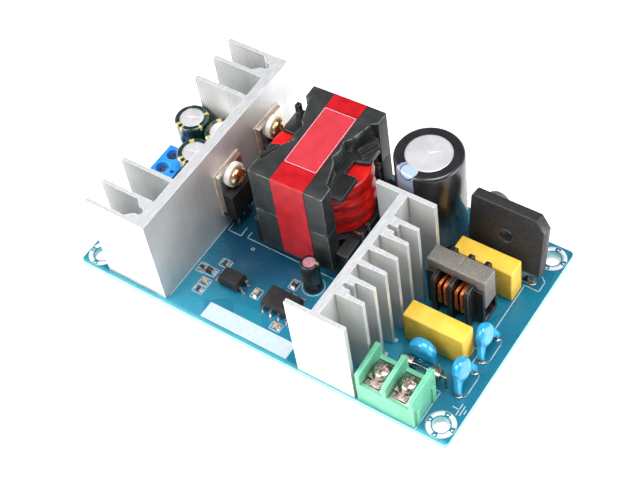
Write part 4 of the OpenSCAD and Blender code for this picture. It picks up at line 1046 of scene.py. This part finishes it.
# Printed lines on the board, each through its points
PRINTED_LINES: dict[str, tuple[Point, ...]] = {
    "transformer_foot": ((-21.5, -2.7), (-21.6, -4.8), (2.2, -4.9), (12.6, -4.9)),
    "output_heatsink_side": ((-28.85, -30.6), (-28.85, 31.0)),
    "rectifier_foot": ((-27.8, -2.2), (-27.8, -5.1), (-23.5, -5.1), (-23.6, -2.1)),
    "terminal_side": ((48.98, -33.0), (48.98, -20.8), (47.2, -20.8)),
    "bridge_corner": ((51.35, 17.66), (55.75, 17.61), (55.75, 21.01), (54.3, 22.2)),
    "choke_foot": ((30.8, -5.4), (51.6, -5.4)),
    "mains_row": ((51.6, -12.2), (51.6, 17.2)),
    "earth_stem": ((53.7, -22.85), (55.55, -22.85)),
}
# Bars of the earth mark, each by its half length and x, and the mark's middle line
EARTH_BARS: tuple[Point, ...] = ((1.73, 55.55), (1.38, 56.4), (0.52, 57.2))
EARTH_Y = -22.85
# The bare field of the name and a small outline, by two opposite corners
NAME_FIELD = (-17.8, -32.0, 9.6, -27.0)
SMALL_OUTLINE = (-18.4, -7.6, -17.6, -6.9)
# Outlines around the disc parts: x, the two middles, half the straight part, and radius
PILL_X, PILLS_Y, PILL_HALF, PILL_R = 53.4, (-15.5, -4.0), 2.6, 1.75
# Arc beside a disc part: middle, radius and two angles
DISC_ARC = (43.9, -15.6, 1.6, -60, 110)
# Bare square pads: their middles and half width
SQUARES_AT, SQUARE_HALF = ((31.3, -13.2), (31.2, -18.0)), 0.5
# Rings of tin: radius of the middle line, half the width and height as a share of that
DOT_RING, SMALL_RING, LARGE_RING = (0.16, 0.28, 0.5), (0.62, 0.34, 0.4), (0.85, 0.45, 0.4)


@dataclass
class Board:
    """The printed board: the white marks on it and the tin around leads.

    Attributes:
        ink: Thickness of the printed ink.
        line: Width of a printed line.
        chip_line: Width of the lines around chip parts.
        beside_chip: How far those lines stand off.
        beside_can: How far the small can's line stands off.
        hole_at: Place of a corner hole from the board's middle.
        hole_ring: Outer radius of the ring around a corner hole.
        ring_band: Width of that ring.
        ring_gap: The gaps in it, in degrees.
        ring_line: Width of the line around it, whose gaps are line_gap.
        line_gap: The gaps in that line, in degrees.
        flat: Thickness of both.
        dot_at: Distance of the tin dots from a hole's middle.
        marks: The printed shapes.
    """

    ink: float = 0.03
    line: float = 0.24
    chip_line: float = 0.17
    beside_chip: float = 0.6
    beside_can: float = 0.75
    hole_at: Point = (53.8, 28.7)
    hole_ring: float = 3.9
    ring_band: float = 1.3
    ring_gap: float = 26.0
    ring_line: float = 0.16
    line_gap: float = 0.5
    flat: float = 0.05
    dot_at: float = 3.2
    marks: Prisms = field(default_factory=Prisms)

    def slab(self, x0: float, y0: float, x1: float, y1: float) -> None:
        """Prints a filled rectangle."""
        self.marks.add([(x0, y0), (x1, y0), (x1, y1), (x0, y1)], BOARD_TOP - 0.01,
                       BOARD_TOP + self.ink)

    def stroke(self, points: Sequence[Point], width: float = 0.0) -> None:
        """Prints a line.

        Args:
            points: The points that it runs through.
            width: Its width, or 0 for the usual one.
        """
        half = (width or self.line) / 2
        for (x0, y0), (x1, y1) in zip(points, points[1:]):
            length = math.hypot(x1 - x0, y1 - y0)
            ux, uy = (x1 - x0) / length * half, (y1 - y0) / length * half
            x0, y0, x1, y1 = x0 - ux, y0 - uy, x1 + ux, y1 + uy
            self.marks.add([(x0 + uy, y0 - ux), (x1 + uy, y1 - ux), (x1 - uy, y1 + ux),
                            (x0 - uy, y0 + ux)], BOARD_TOP - 0.01, BOARD_TOP + self.ink)

    def arc(self, x: float, y: float, r: float, start: float = 0,
            end: float = 360) -> None:
        """Prints an arc.

        Args:
            x: Its middle along X.
            y: Its middle along Y.
            r: Its radius.
            start: Its first angle, in degrees.
            end: Its last one.
        """
        steps = max(4, int(abs(end - start) / 15))
        turn = [math.radians(start + (end - start) * i / steps) for i in range(steps + 1)]
        self.stroke([(x + r * math.cos(a), y + r * math.sin(a)) for a in turn])

    def frame(self, x0: float, y0: float, x1: float, y1: float,
              width: float = 0.0) -> None:
        """Prints a rectangle's outline."""
        self.stroke([(x0, y0), (x1, y0), (x1, y1), (x0, y1), (x0, y0)], width)

    def pill(self, x: float, y0: float, y1: float, r: float) -> None:
        """Prints an outline with round ends along Y."""
        self.arc(x, y1, r, 0, 180)
        self.arc(x, y0, r, 180, 360)
        for side in (-r, r):
            self.stroke([(x + side, y0), (x + side, y1)])

    def print_marks(self) -> None:
        """Prints the outlines of the parts, the bare name field and the earth mark."""
        self.slab(*NAME_FIELD)
        for points in PRINTED_LINES.values():
            self.stroke(points)
        self.frame(*SMALL_OUTLINE)
        for y in PILLS_Y:
            self.pill(PILL_X, y - PILL_HALF, y + PILL_HALF, PILL_R)
        self.arc(*DISC_ARC)
        for x, y in SQUARES_AT:
            self.slab(x - SQUARE_HALF, y - SQUARE_HALF, x + SQUARE_HALF, y + SQUARE_HALF)
        for size, x in EARTH_BARS:
            self.stroke([(x, EARTH_Y - size), (x, EARTH_Y + size)])
        low, high = box_mm("aux_capacitor_can")
        self.arc((low.x + high.x) / 2, (low.y + high.y) / 2,
                 (high.x - low.x) / 2 + self.beside_can)
        off = Vector((self.beside_chip, self.beside_chip))
        for low, high in islands("chip_parts"):
            self.frame(*(low.to_2d() - off), *(high.to_2d() + off), self.chip_line)

    def lead_points(self, *nodes: str) -> list[Place]:
        """Finds where leads come out of the board's top.

        Args:
            nodes: The CAD nodes of the leads.

        Returns:
            A point for each solid that is as slim as a lead.
        """
        slim = 1.6
        return [((low.x + high.x) / 2, (low.y + high.y) / 2, BOARD_TOP)
                for node in nodes for low, high in islands(node)
                if high.x - low.x < slim and high.y - low.y < slim]

    def build(self) -> None:
        """Adds the board's marks, pads and rings."""
        self.print_marks()
        ink, tin = Stuff.INK.material(), Stuff.TIN.material()
        publish(self.marks.piece("printed_marks", ink), "board")
        hole_x, hole_y = self.hole_at
        holes = [(sx * hole_x, sy * hole_y, BOARD_TOP + 0.01) for sx in (-1, 1)
                 for sy in (-1, 1)]
        rings = ring_marks(Stuff.RING.material(), self.hole_ring - self.ring_band / 2,
                           self.ring_band, self.flat, self.ring_gap)
        publish(rings.grow("corner_ring_marks", holes), "board")
        lines = ring_marks(ink, self.hole_ring, self.ring_line, self.flat, self.line_gap)
        publish(lines.grow("corner_ring_lines", holes), "board")
        dots = [(x + self.dot_at * math.cos(a), y + self.dot_at * math.sin(a), BOARD_TOP)
                for x, y, _ in holes for a in (math.pi * k / 2 for k in range(4))]
        publish(pad_rings(tin, *DOT_RING).grow("corner_tin_dots", dots), "solder")
        small = self.lead_points("wire_leads", "small_capacitor_leads")
        publish(pad_rings(tin, *SMALL_RING).grow("lead_pads", small), "solder")
        large = self.lead_points("bulk_capacitor_leads", "bridge_rectifier_leads",
                                 "transformer_pins", "choke_pins")
        publish(pad_rings(tin, *LARGE_RING).grow("wide_lead_pads", large), "solder")


# ---- transformer -----------------------------------------------------------------------


@dataclass
class Transformer:
    """Core, bobbin, wrinkled winding tape, core tape and bare label.

    Attributes:
        turn: Turn of the transformer about Z, in degrees.
        tape_points: Steps along each straight side of the tape's loop.
        tape_r: Radius of the tape at the core's edges.
        crease: Height of the tape's creases.
        fold: Half depth of the winding's large folds.
        wrinkle: Half depth of its fine wrinkles.
        taper: How far the winding narrows at its lower end.
        bore: Radius inside which the winding stays as it is.
        skin: Size of the faces on the winding's skin.
        rounds: Rounds of smoothing on it.
        tape_t: Thickness of the tape.
        label_t: Thickness of the label.
        label_inset: How far the label ends before the tape's edges.
        label_line: Width of the line along its edge.
        label_steps: Faces along the label.
    """

    turn: float = 2.0
    tape_points: int = 44
    tape_r: float = 0.5
    crease: float = 0.12
    fold: float = 0.42
    wrinkle: float = 0.06
    taper: float = 0.9
    bore: float = 8.5
    skin: float = 0.36
    rounds: int = 12
    tape_t: float = 0.12
    label_t: float = 0.06
    label_inset: float = 0.25
    label_line: float = 0.12
    label_steps: int = 60

    def __post_init__(self) -> None:
        """Finds the transformer's place and its turn."""
        low, high = box_mm("transformer_core_top")
        self.foot = ((low + high) / 2) * Vector((1, 1, 0))
        self.spin = Matrix.Rotation(math.radians(self.turn), 3, "Z")

    def own(self, node: str) -> tuple[Vector, Vector]:
        """Reads a CAD node in the transformer's own, unturned axes.

        Args:
            node: The CAD node.

        Returns:
            The middle of its box from the transformer's foot, and its size.
        """
        low, high = box_mm(node)
        size, share = high - low, abs(math.sin(math.radians(self.turn)))
        middle = self.spin.inverted() @ ((low + high) / 2 - self.foot)
        return middle, Vector((size.x - size.y * share, size.y - size.x * share, size.z))

    def winding(self) -> None:
        """Skins the winding and pulls large slanting folds and fine wrinkles into it."""
        made = skinned("transformer_winding", "winding_tape", Stuff.WINDING.material(),
                       self.skin, self.rounds)
        low, high = box_mm("transformer_winding")
        middle, tall = (low + high) / 2, (high.z - low.z) / 2
        for vert in made.data.vertices:
            p = vert.co / MM - middle
            if math.hypot(p.x, p.y) < self.bore:
                continue
            angle = math.atan2(p.y, p.x)
            height = p.z / tall
            slant = p.z * 1.25 + 3.0 * angle
            fold = math.sin(slant + 0.8 * math.sin(2.0 * angle + 0.5 * p.z))
            broad = self.fold * (fold * abs(fold) - 1.0)
            fine = self.wrinkle * (math.sin(4.2 * p.z - 9.0 * angle + 1.7)
                                   + 0.6 * math.sin(7.3 * p.z + 13.0 * angle) - 1.6)
            taper = -self.taper * max(0.0, -height) ** 2
            fade = min(1.0, (1.04 - abs(height)) * 3)
            outward = Vector((math.cos(angle), math.sin(angle), 0.0))
            vert.co += outward * min(0.0, (broad + fine) * fade + taper) * MM
        publish(made, "red_tape", ["transformer_winding"])

    def strip(self, name: str, line: Sequence[Point], width: float, thick: float,
              x: float, rise: Callable[[float, float], float], finish: Stuff,
              closed: bool, columns: int = 22) -> Object:
        """Lays a strip along a line in the transformer's own YZ plane.

        Args:
            name: Name of the piece.
            line: Points (y, z) of the strip's outer face.
            width: Width along X.
            thick: Thickness inwards.
            x: The strip's middle along X.
            rise: Height of the creases from the place across and along.
            finish: What it is made of.
            closed: True joins the ends.
            columns: Faces across.

        Returns:
            The strip.
        """
        n, row = len(line), columns + 1
        verts: list[Place] = []
        for layer in (0, 1):
            for i, (y, z) in enumerate(line):
                y0, z0 = line[(i - 1) % n] if closed or i else line[i]
                y1, z1 = line[(i + 1) % n] if closed or i < n - 1 else line[i]
                out = Vector((0, z1 - z0, y0 - y1)).normalized()
                for k in range(row):
                    across = k / columns * width
                    lift = rise(across, i / n) if layer == 0 else -thick
                    p = Vector((x - width / 2 + across, y, z)) + out * lift
                    verts.append(tuple(self.foot + self.spin @ p))
        under = n * row
        faces: list[tuple[int, ...]] = []
        for i in range(n if closed else n - 1):
            j = (i + 1) % n
            for k in range(columns):
                a, b = i * row + k, j * row + k
                faces.append((a, a + 1, b + 1, b))
                faces.append((a + under, b + under, b + under + 1, a + under + 1))
            for k in (0, columns):
                a, b = i * row + k, j * row + k
                quad = (a, b, b + under, a + under)
                faces.append(quad if k == 0 else quad[::-1])
        for i in () if closed else (0, n - 1):
            for k in range(columns):
                a = i * row + k
                quad = (a, a + under, a + under + 1, a + 1)
                faces.append(quad if i == 0 else quad[::-1])
        made = mesh_object(name, verts, faces, finish.material(), smooth=True)
        reworked(made, lambda form: bmesh.ops.recalc_face_normals(form, faces=form.faces))
        made.data.set_sharp_from_angle(angle=math.radians(50))
        return made

    def loop(self, half: float, z0: float, z1: float) -> list[Point]:
        """Points (y, z) around the core, with round corners.

        Args:
            half: Half the loop's width along Y.
            z0: Its lowest height.
            z1: Its highest height.

        Returns:
            The points, in order.
        """
        r, arcs = self.tape_r, []
        for side, z, start in ((1, z1 - r, 0), (-1, z1 - r, 90), (-1, z0 + r, 180),
                               (1, z0 + r, 270)):
            turn = [math.radians(start + 22.5 * k) for k in range(5)]
            arcs.append([(side * (half - r) + r * math.cos(a), z + r * math.sin(a))
                         for a in turn])
        line: list[Point] = []
        for arc, after in zip(arcs, arcs[1:] + arcs[:1]):
            (ya, za), (yb, zb) = arc[-1], after[0]
            steps = [k / self.tape_points for k in range(1, self.tape_points)]
            line += arc + [(ya + (yb - ya) * s, za + (zb - za) * s) for s in steps]
        return line

    def tape(self) -> None:
        """Wraps the creased tape around the core and lays the bare label on it."""
        middle, size = self.own("core_tape")
        low, high = box_mm("core_tape")
        width = size.x

        def creases(x: float, along: float) -> float:
            """Fine slanting creases that fade at the tape's edges."""
            wave = (math.sin(2.1 * x + 90 * along) * math.sin(1.3 * x - 61 * along)
                    + 0.5 * math.sin(5.3 * x + 170 * along + 2.0 * math.sin(40 * along)))
            fade = min(1.0, x / 0.8, (width - x) / 0.8)
            return self.crease * (max(0.0, wave) ** 2 - 1.0) * 0.35 * max(0.0, fade)

        band = self.strip("core_tape_band", self.loop(size.y / 2 - 0.02, low.z, high.z),
                          width, self.tape_t, middle.x, creases, Stuff.TAPE, True)
        publish(band, "red_tape", ["core_tape"])
        middle, size = self.own("core_label")
        top, length = box_mm("core_label")[1].z, size.y
        steps, inset = self.label_steps, self.label_inset
        points = [(middle.y + length * (0.5 - k / steps), top - 0.03)
                  for k in range(steps + 1)]
        label = self.strip("core_label_film", points, width - 2 * inset, self.label_t,
                           middle.x, lambda x, along: 0.0, Stuff.LABEL, False, 8)
        publish(label, "red_label", ["core_label"])
        self.label_edge(middle, width / 2 - inset, length / 2, top)

    def label_edge(self, middle: Vector, reach: float, half: float, top: float) -> None:
        """Prints the line along the label's edge.

        Args:
            middle: The label's middle in the transformer's own axes.
            reach: Half its width.
            half: Half its length.
            top: Height of its face.
        """
        rim = [Vector((middle.x + reach * sx, middle.y + half * sy, 0))
               for sx, sy in ((-1, -1), (1, -1), (1, 1), (-1, 1), (-1, -1))]
        edge = Prisms()
        for a, b in zip(rim, rim[1:]):
            along = (b - a).normalized() * (self.label_line / 2)
            side = Vector((-along.y, along.x, 0))
            corners = (a - along - side, b + along - side, b + along + side,
                       a - along + side)
            edge.add([tuple((self.foot + self.spin @ p).to_2d()) for p in corners],
                     top - 0.05, top)
        publish(edge.piece("label_edge", Stuff.INK.material()), "red_label")

    def build(self) -> None:
        """Builds the transformer's pieces in order."""
        for node in ("transformer_core_top", "transformer_core_bottom"):
            publish(softened(node, Stuff.FERRITE.material(), 0.12), "ferrite", [node])
        publish(softened("transformer_bobbin", Stuff.PHENOLIC.material(), 0.1),
                "black_moulding", ["transformer_bobbin"])
        self.winding()
        self.tape()


# ---- capacitors ------------------------------------------------------------------------


@dataclass
class RoundCapacitors:
    """Wound capacitors: printed sleeves and scored can tops.

    Attributes:
        groove: Half width of the score lines.
        dome: How far the sectors between the scores stand up.
        swell: How far the middle of a top stands over its rim.
        gap: Gap between a top and the sleeve's eye.
        rim: Width of the flat rim.
        over: Height of the rim over the can.
        rings: Faces from the middle of a top to its rim.
        around: Faces around it.
    """

    groove: float = 0.17
    dome: float = 0.08
    swell: float = 0.1
    gap: float = 0.04
    rim: float = 0.25
    over: float = 0.012
    rings: int = 26
    around: int = 96

    def sleeve(self, node: str, finish: Stuff, slot: str) -> None:
        """Copies a sleeve and gives it a UV map of turn and height.

        Args:
            node: The CAD node of the sleeves.
            finish: What they are made of.
            slot: The name of their material slot, which only goes into the log.
        """
        cans = islands(node)
        form = merged(node)
        wrap = form.loops.layers.uv.new("wrap")
        for face in form.faces:
            centre = face.calc_center_median() / MM
            low, high = min(cans, key=lambda b: (
                (b[0] + b[1]) / 2 - centre).to_2d().length)
            middle = (low + high) / 2
            first = None
            for loop in face.loops:
                p = loop.vert.co / MM - middle
                u = math.atan2(p.y, p.x) / math.tau + 0.5
                if math.hypot(p.x, p.y) < 0.05:
                    u = first if first is not None else u
                if first is None:
                    here = centre - middle
                    first = math.atan2(here.y, here.x) / math.tau + 0.5
                u += round(first - u)
                loop[wrap].uv = (u, (loop.vert.co.z / MM - low.z) / (high.z - low.z))
        made = released(form, node + "_wrap")
        made.data.shade_smooth()
        made.data.set_sharp_from_angle(angle=math.radians(50))
        dress(made, finish.material())
        publish(made, slot, [node])

    def lift(self, r: float, angle: float, eye: float, scores: Sequence[float]) -> float:
        """Height of a scored top over its can.

        Args:
            r: Distance from the top's middle.
            angle: Angle about it.
            eye: Radius of the sleeve's round eye.
            scores: The angles of the score lines.

        Returns:
            The height.
        """
        off = min((abs(r * math.sin(angle - score)) for score in scores
                   if math.cos(angle - score) > 0), default=math.inf)
        share = min(1.0, off / self.groove)
        rim = min(1.0, (eye - self.gap - r) / self.rim)
        swell = self.swell * (1 - (r / eye) ** 2)
        return self.dome * share * share * (3 - 2 * share) * rim + swell + self.over

    def scored_top(self, name: str, node: str, eye: float, arms: int,
                   start: float) -> None:
        """Puts a scored disc on each can of a node.

        Args:
            name: Name of the piece.
            node: The CAD node of the cans.
            eye: Radius of the sleeve's round eye.
            arms: How many score lines meet in the middle.
            start: Angle of the first one, in degrees.
        """
        verts: list[Place] = []
        faces: list[tuple[int, ...]] = []
        scores = [math.radians(start + 360 * arm / arms) for arm in range(arms)]
        for low, high in islands(node):
            base = len(verts)
            x, y = (low.x + high.x) / 2, (low.y + high.y) / 2
            for i in range(self.rings + 1):
                r = (eye - self.gap) * i / self.rings
                for k in range(self.around):
                    a = math.tau * k / self.around
                    verts.append((x + r * math.cos(a), y + r * math.sin(a),
                                  high.z + self.lift(r, a, eye, scores)))
            for i in range(self.rings):
                for k in range(self.around):
                    j = (k + 1) % self.around
                    a, b = base + i * self.around, base + (i + 1) * self.around
                    faces.append((a + k, b + k, b + j, a + j))
        made = mesh_object(name, verts, faces, Stuff.CAN.material(), smooth=True)
        reworked(made, lambda form: bmesh.ops.remove_doubles(
            form, verts=form.verts, dist=1e-7))
        publish(made, "can_aluminium")

    def build(self) -> None:
        """Dresses every round capacitor."""
        self.sleeve("bulk_capacitor_sleeve", Stuff.BULK_SLEEVE, "black_sleeve")
        self.sleeve("output_capacitor_sleeves", Stuff.GREEN_SLEEVE, "green_sleeve")
        self.sleeve("aux_capacitor_sleeve", Stuff.DARK_SLEEVE, "black_sleeve")
        self.scored_top("bulk_capacitor_top", "bulk_capacitor_can", 6.2, 3, 38.5)
        self.scored_top("output_capacitor_tops", "output_capacitor_cans", 3.43, 4, 20)


# ---- moulded, dipped and stamped parts -------------------------------------------------


@dataclass
class PowerParts:
    """The power parts that screws clamp to the extrusions.

    Attributes:
        case: Rounding of the moulded cases.
        frame: Rounding of the stamped frames.
    """

    case: float = 0.18
    frame: float = 0.08

    def build(self) -> None:
        """Rounds the edges of the cases and frames."""
        names = ("front_rectifier", "rear_rectifier", "transistor")
        for part, stuff, width, slot in (
                ("_body", Stuff.EPOXY, self.case, "black_moulding"),
                ("_frame", Stuff.FRAME, self.frame, "plated_steel")):
            for name in names:
                publish(softened(name + part, stuff.material(), width), slot,
                        [name + part])


# Parts with rounded edges: the CAD node, its stuff, the rounding and the slot
ROUNDED = (
    ("bridge_rectifier", Stuff.BRIDGE, 0.22, "black_moulding"),
    ("front_box_capacitor", Stuff.YELLOW, 0.45, "yellow_case"),
    ("rear_box_capacitor", Stuff.YELLOW, 0.45, "yellow_case"),
    ("choke_core_left", Stuff.CHOKE, 0.3, "choke_ferrite"),
    ("choke_core_right", Stuff.CHOKE, 0.3, "choke_ferrite"),
    ("choke_bobbin", Stuff.PHENOLIC, 0.12, "black_moulding"),
    ("input_terminal_body", Stuff.GREEN, 0.18, "green_terminal"),
    ("input_terminal_contacts", Stuff.NICKEL, 0.08, "nickel"),
    ("input_terminal_clamps", Stuff.NICKEL, 0.12, "nickel"),
    ("input_terminal_screws", Stuff.NICKEL, 0.1, "nickel"),
    ("output_terminal_body", Stuff.BLUE, 0.15, "blue_terminal"),
    ("control_ic", Stuff.EPOXY, 0.12, "black_moulding"),
    ("optocoupler", Stuff.EPOXY, 0.12, "black_moulding"),
    ("clamp_screws", Stuff.ZINC, 0.1, "zinc_screw"),
    ("shoulder_washers", Stuff.NYLON, 0.12, "white_nylon"),
)
# Discs that were dipped in their coat: the CAD node, its stuff and the slot
DIPPED_DISCS = (
    ("front_disc_capacitor", Stuff.DIPPED, "blue_epoxy"),
    ("rear_disc_capacitor", Stuff.DIPPED, "blue_epoxy"),
    ("surge_absorber", Stuff.DIPPED, "blue_epoxy"),
    ("inrush_limiter", Stuff.CERAMIC, "grey_ceramic"),
)


@dataclass
class MainsParts:
    """Rounded and dipped parts, and the choke with real turns.

    Attributes:
        wire: Diameter of the choke's wire.
        pitch: Distance from turn to turn, in wires.
        slack: How far a turn may swell, as a share.
        skin: Size of the faces on dipped parts.
        rounds: Rounds of smoothing on them.
    """

    wire: float = 0.55
    pitch: float = 1.02
    slack: float = 0.03
    skin: float = 0.2
    rounds: int = 16

    def choke_turns(self) -> None:
        """Winds round wire where the CAD has a block."""
        coils = islands("choke_windings")
        points = [tuple((low + high) / 2) for low, high in coils]
        size, pitch = coils[0][1] - coils[0][0], self.wire * self.pitch
        count = int((size.x - self.wire) / pitch)
        recipe = wire_turns(Stuff.COPPER.material(), size.y - self.wire,
                            size.z - self.wire, self.wire, pitch, count, self.slack)
        publish(recipe.grow("choke_turns", points), "copper_wire", ["choke_windings"])

    def build(self) -> None:
        """Rounds and dresses the blocks, then winds the choke."""
        for node, stuff, width, slot in ROUNDED:
            publish(softened(node, stuff.material(), width, 3), slot, [node])
        for node, stuff, slot in DIPPED_DISCS:
            drop = skinned(node, node + "_drop", stuff.material(), self.skin, self.rounds)
            publish(drop, slot, [node])
        self.choke_turns()


@dataclass
class Chips:
    """Chip parts with tinned ends on tinned pads.

    Attributes:
        end: Length of a tinned end.
        coat: Thickness of the tin.
        pad: Height of a pad.
        pad_past: How far a pad reaches past the end.
        pad_beside: How far it reaches on the other sides.
        rounding: Width of the rounding.
        capacitor_z: Least and largest height of a chip capacitor.
        capacitor_l: Its largest length.
    """

    end: float = 0.42
    coat: float = 0.03
    pad: float = 0.1
    pad_past: float = 0.35
    pad_beside: float = 0.1
    rounding: float = 0.07
    capacitor_z: Point = (0.8, 1.02)
    capacitor_l: float = 2.5

    def build(self) -> None:
        """Splits each chip part into its body, its two ends and their pads."""
        names = {Stuff.CHIP_TAN: "chip_bodies_tan", Stuff.CHIP_BLACK: "chip_bodies_black",
                 Stuff.TIN: "chip_ends"}
        shapes = {stuff: Prisms() for stuff in names}
        tin = shapes[Stuff.TIN]
        beside = Vector((self.pad_beside, self.pad_beside, 0))
        for low, high in islands("chip_parts"):
            size = high - low
            along = 1 if size.y > size.x else 0
            least, most = self.capacitor_z
            capacitor = least < size.z < most and size[along] < self.capacitor_l
            inset = Vector((0, 0, 0))
            inset[along] = self.end
            shapes[Stuff.CHIP_TAN if capacitor else Stuff.CHIP_BLACK].box(
                low + inset, high - inset)
            for side in (0, 1):
                a, b = low.copy(), high.copy()
                if side:
                    a[along] = high[along] - self.end
                else:
                    b[along] = low[along] + self.end
                tin.box(a - Vector((self.coat, self.coat, 0)), b + Vector(
                    (self.coat, self.coat, self.coat)))
                if side:
                    b[along] += self.pad_past
                else:
                    a[along] -= self.pad_past
                a.z, b.z = BOARD_TOP, BOARD_TOP + self.pad
                tin.box(a - beside, b + beside)
        for stuff, shape in shapes.items():
            made = shape.piece(names[stuff], stuff.material(), smooth=True)
            modified(made, "BEVEL", width=self.rounding * MM, segments=2,
                     harden_normals=True)
            publish(made, "chip_ceramic", ["chip_parts"])


# ---- plain nodes, light and camera -----------------------------------------------------


# CAD nodes that stay as they are, by what they are made of
PLAIN = {
    Stuff.MASK: ("circuit_board",),
    Stuff.EXTRUSION: ("output_heatsink", "primary_heatsink"),
    Stuff.TIN: ("solder_joints",),
    Stuff.TINNED: ("heatsink_pins", "transformer_pins", "bulk_capacitor_leads",
                   "bridge_rectifier_leads", "choke_pins", "wire_leads", "fuse_element",
                   "small_capacitor_leads", "surface_leads"),
    Stuff.PAD: ("insulating_pads",),
    Stuff.PINK_WIRE: ("winding_leads",),
    Stuff.CAN: ("bulk_capacitor_can", "output_capacitor_cans"),
    Stuff.REFLECTION_TINTED_CAN: ("aux_capacitor_can",),
    Stuff.GLASS: ("fuse_tube",),
    Stuff.NICKEL: ("fuse_caps", "output_terminal_clamps", "output_terminal_screws"),
    Stuff.TUBE: ("output_inductor",),
}


def dress_plain_nodes() -> None:
    """Gives each CAD node that stays its material."""
    for stuff, nodes in PLAIN.items():
        for node in nodes:
            dress(frame["nodes"][node], stuff.material())
            log.info("node %s: %s", node, stuff.value.name)


@dataclass
class Studio:
    """Pale floor, soft light and the camera.

    Attributes:
        eye: Place of the camera.
        turn: Its Euler angles in degrees.
        lens: Focal length.
        sensor: Width of the sensor.
        reach: Half the floor's width.
        lamps: Each square lamp's name, place, width, power in watts and colour.
    """

    eye: Place = (154.774, -174.503, 312.213)
    turn: Place = (37.1096, 6.2059, 33.4219)
    lens: float = 81.28
    sensor: float = 36.0
    reach: float = 1500.0
    lamps: tuple[tuple[str, Place, float, float, str], ...] = (
        ("key", (-260, -420, 520), 420, 5.0, "#fffdfa"),
        ("top", (150, 20, 620), 360, 4.0, "#ffffff"),
        ("side", (480, 160, 180), 320, 2.2, "#ffffff"),
        ("left", (-460, -250, 170), 300, 2.6, "#ffffff"))

    def floor(self) -> None:
        """Lays a wide pale floor under the lowest point."""
        # Seamless lit paper: white and dull, so that only soft shadows show
        paper = Paper("paper", "#fbfbfb", "#f8f8f9", 60.0, roughness=0.9, grain=1.0)
        z, reach = CAD_BOX[0][2] / MM, self.reach
        sheet = mesh_object("floor", [(-reach, -reach, z), (reach, -reach, z),
                                      (reach, reach, z), (-reach, reach, z)],
                            [(0, 1, 2, 3)], paper.material())

    def lamp(self, name: str, at: Place, size: float, watts: float, colour: str) -> None:
        """Adds a square area lamp that looks at the object.

        Args:
            name: Its name.
            at: Its place.
            size: Its width.
            watts: Its power.
            colour: Its colour.
        """
        light = bpy.data.lights.new(name, "AREA")
        light.size = size * MM
        light.energy = watts
        light.color = linear(colour)[:3]
        lamp = linked(name, light)
        lamp.location = Vector(at) * MM
        aim = Vector((0, 0, 10)) - Vector(at)
        lamp.rotation_euler = aim.to_track_quat("-Z", "Y").to_euler()

    def sky(self) -> None:
        """A soft surround, darker on the right and overhead."""
        world = bpy.data.worlds.new("studio")
        world.use_nodes = True
        art = Shade(world.node_tree)
        look = art.add("ShaderNodeSeparateXYZ", {
            "Vector": art.coords.outputs["Generated"]})
        right = art.add("ShaderNodeMapRange", {
            "Value": look.outputs["X"], "From Min": -0.6, "From Max": 0.9})
        tone = art.mix(right.outputs["Result"], "#ffffff", "#7d8288")
        high = art.add("ShaderNodeMapRange", {
            "Value": look.outputs["Z"], "From Min": 0.35, "From Max": 0.8,
            "To Max": 0.85})
        tone = art.mix(high.outputs["Result"], tone, "#6a7076")
        back = art.add("ShaderNodeBackground", {"Color": tone, "Strength": 0.5})
        art.add("ShaderNodeOutputWorld", {"Surface": back.outputs[0]})
        bpy.context.scene.world = world

    def camera(self) -> None:
        """Sets up the camera."""
        data = bpy.data.cameras.new("camera")
        data.sensor_width = self.sensor
        data.lens = self.lens
        data.clip_start, data.clip_end = 0.01, 10
        camera = linked("camera", data)
        camera.location = Vector(self.eye) * MM
        camera.rotation_euler = [math.radians(a) for a in self.turn]
        bpy.context.scene.camera = camera

    def build(self) -> None:
        """Sets up floor, lights, surround and camera."""
        self.floor()
        self.sky()
        for lamp in self.lamps:
            self.lamp(*lamp)
        self.camera()
        bpy.context.scene.view_settings.view_transform = "Standard"


def main() -> None:
    """Builds every sub-assembly in order."""
    logging.basicConfig(level=logging.INFO, format="%(name)s: %(message)s")
    Studio().build()
    for assembly in (Board(), PowerParts(), Transformer(), RoundCapacitors(), MainsParts(),
                     Chips()):
        log.info("building %s", type(assembly).__name__)
        assembly.build()
    dress_plain_nodes()


if __name__ == "__main__":
    main()
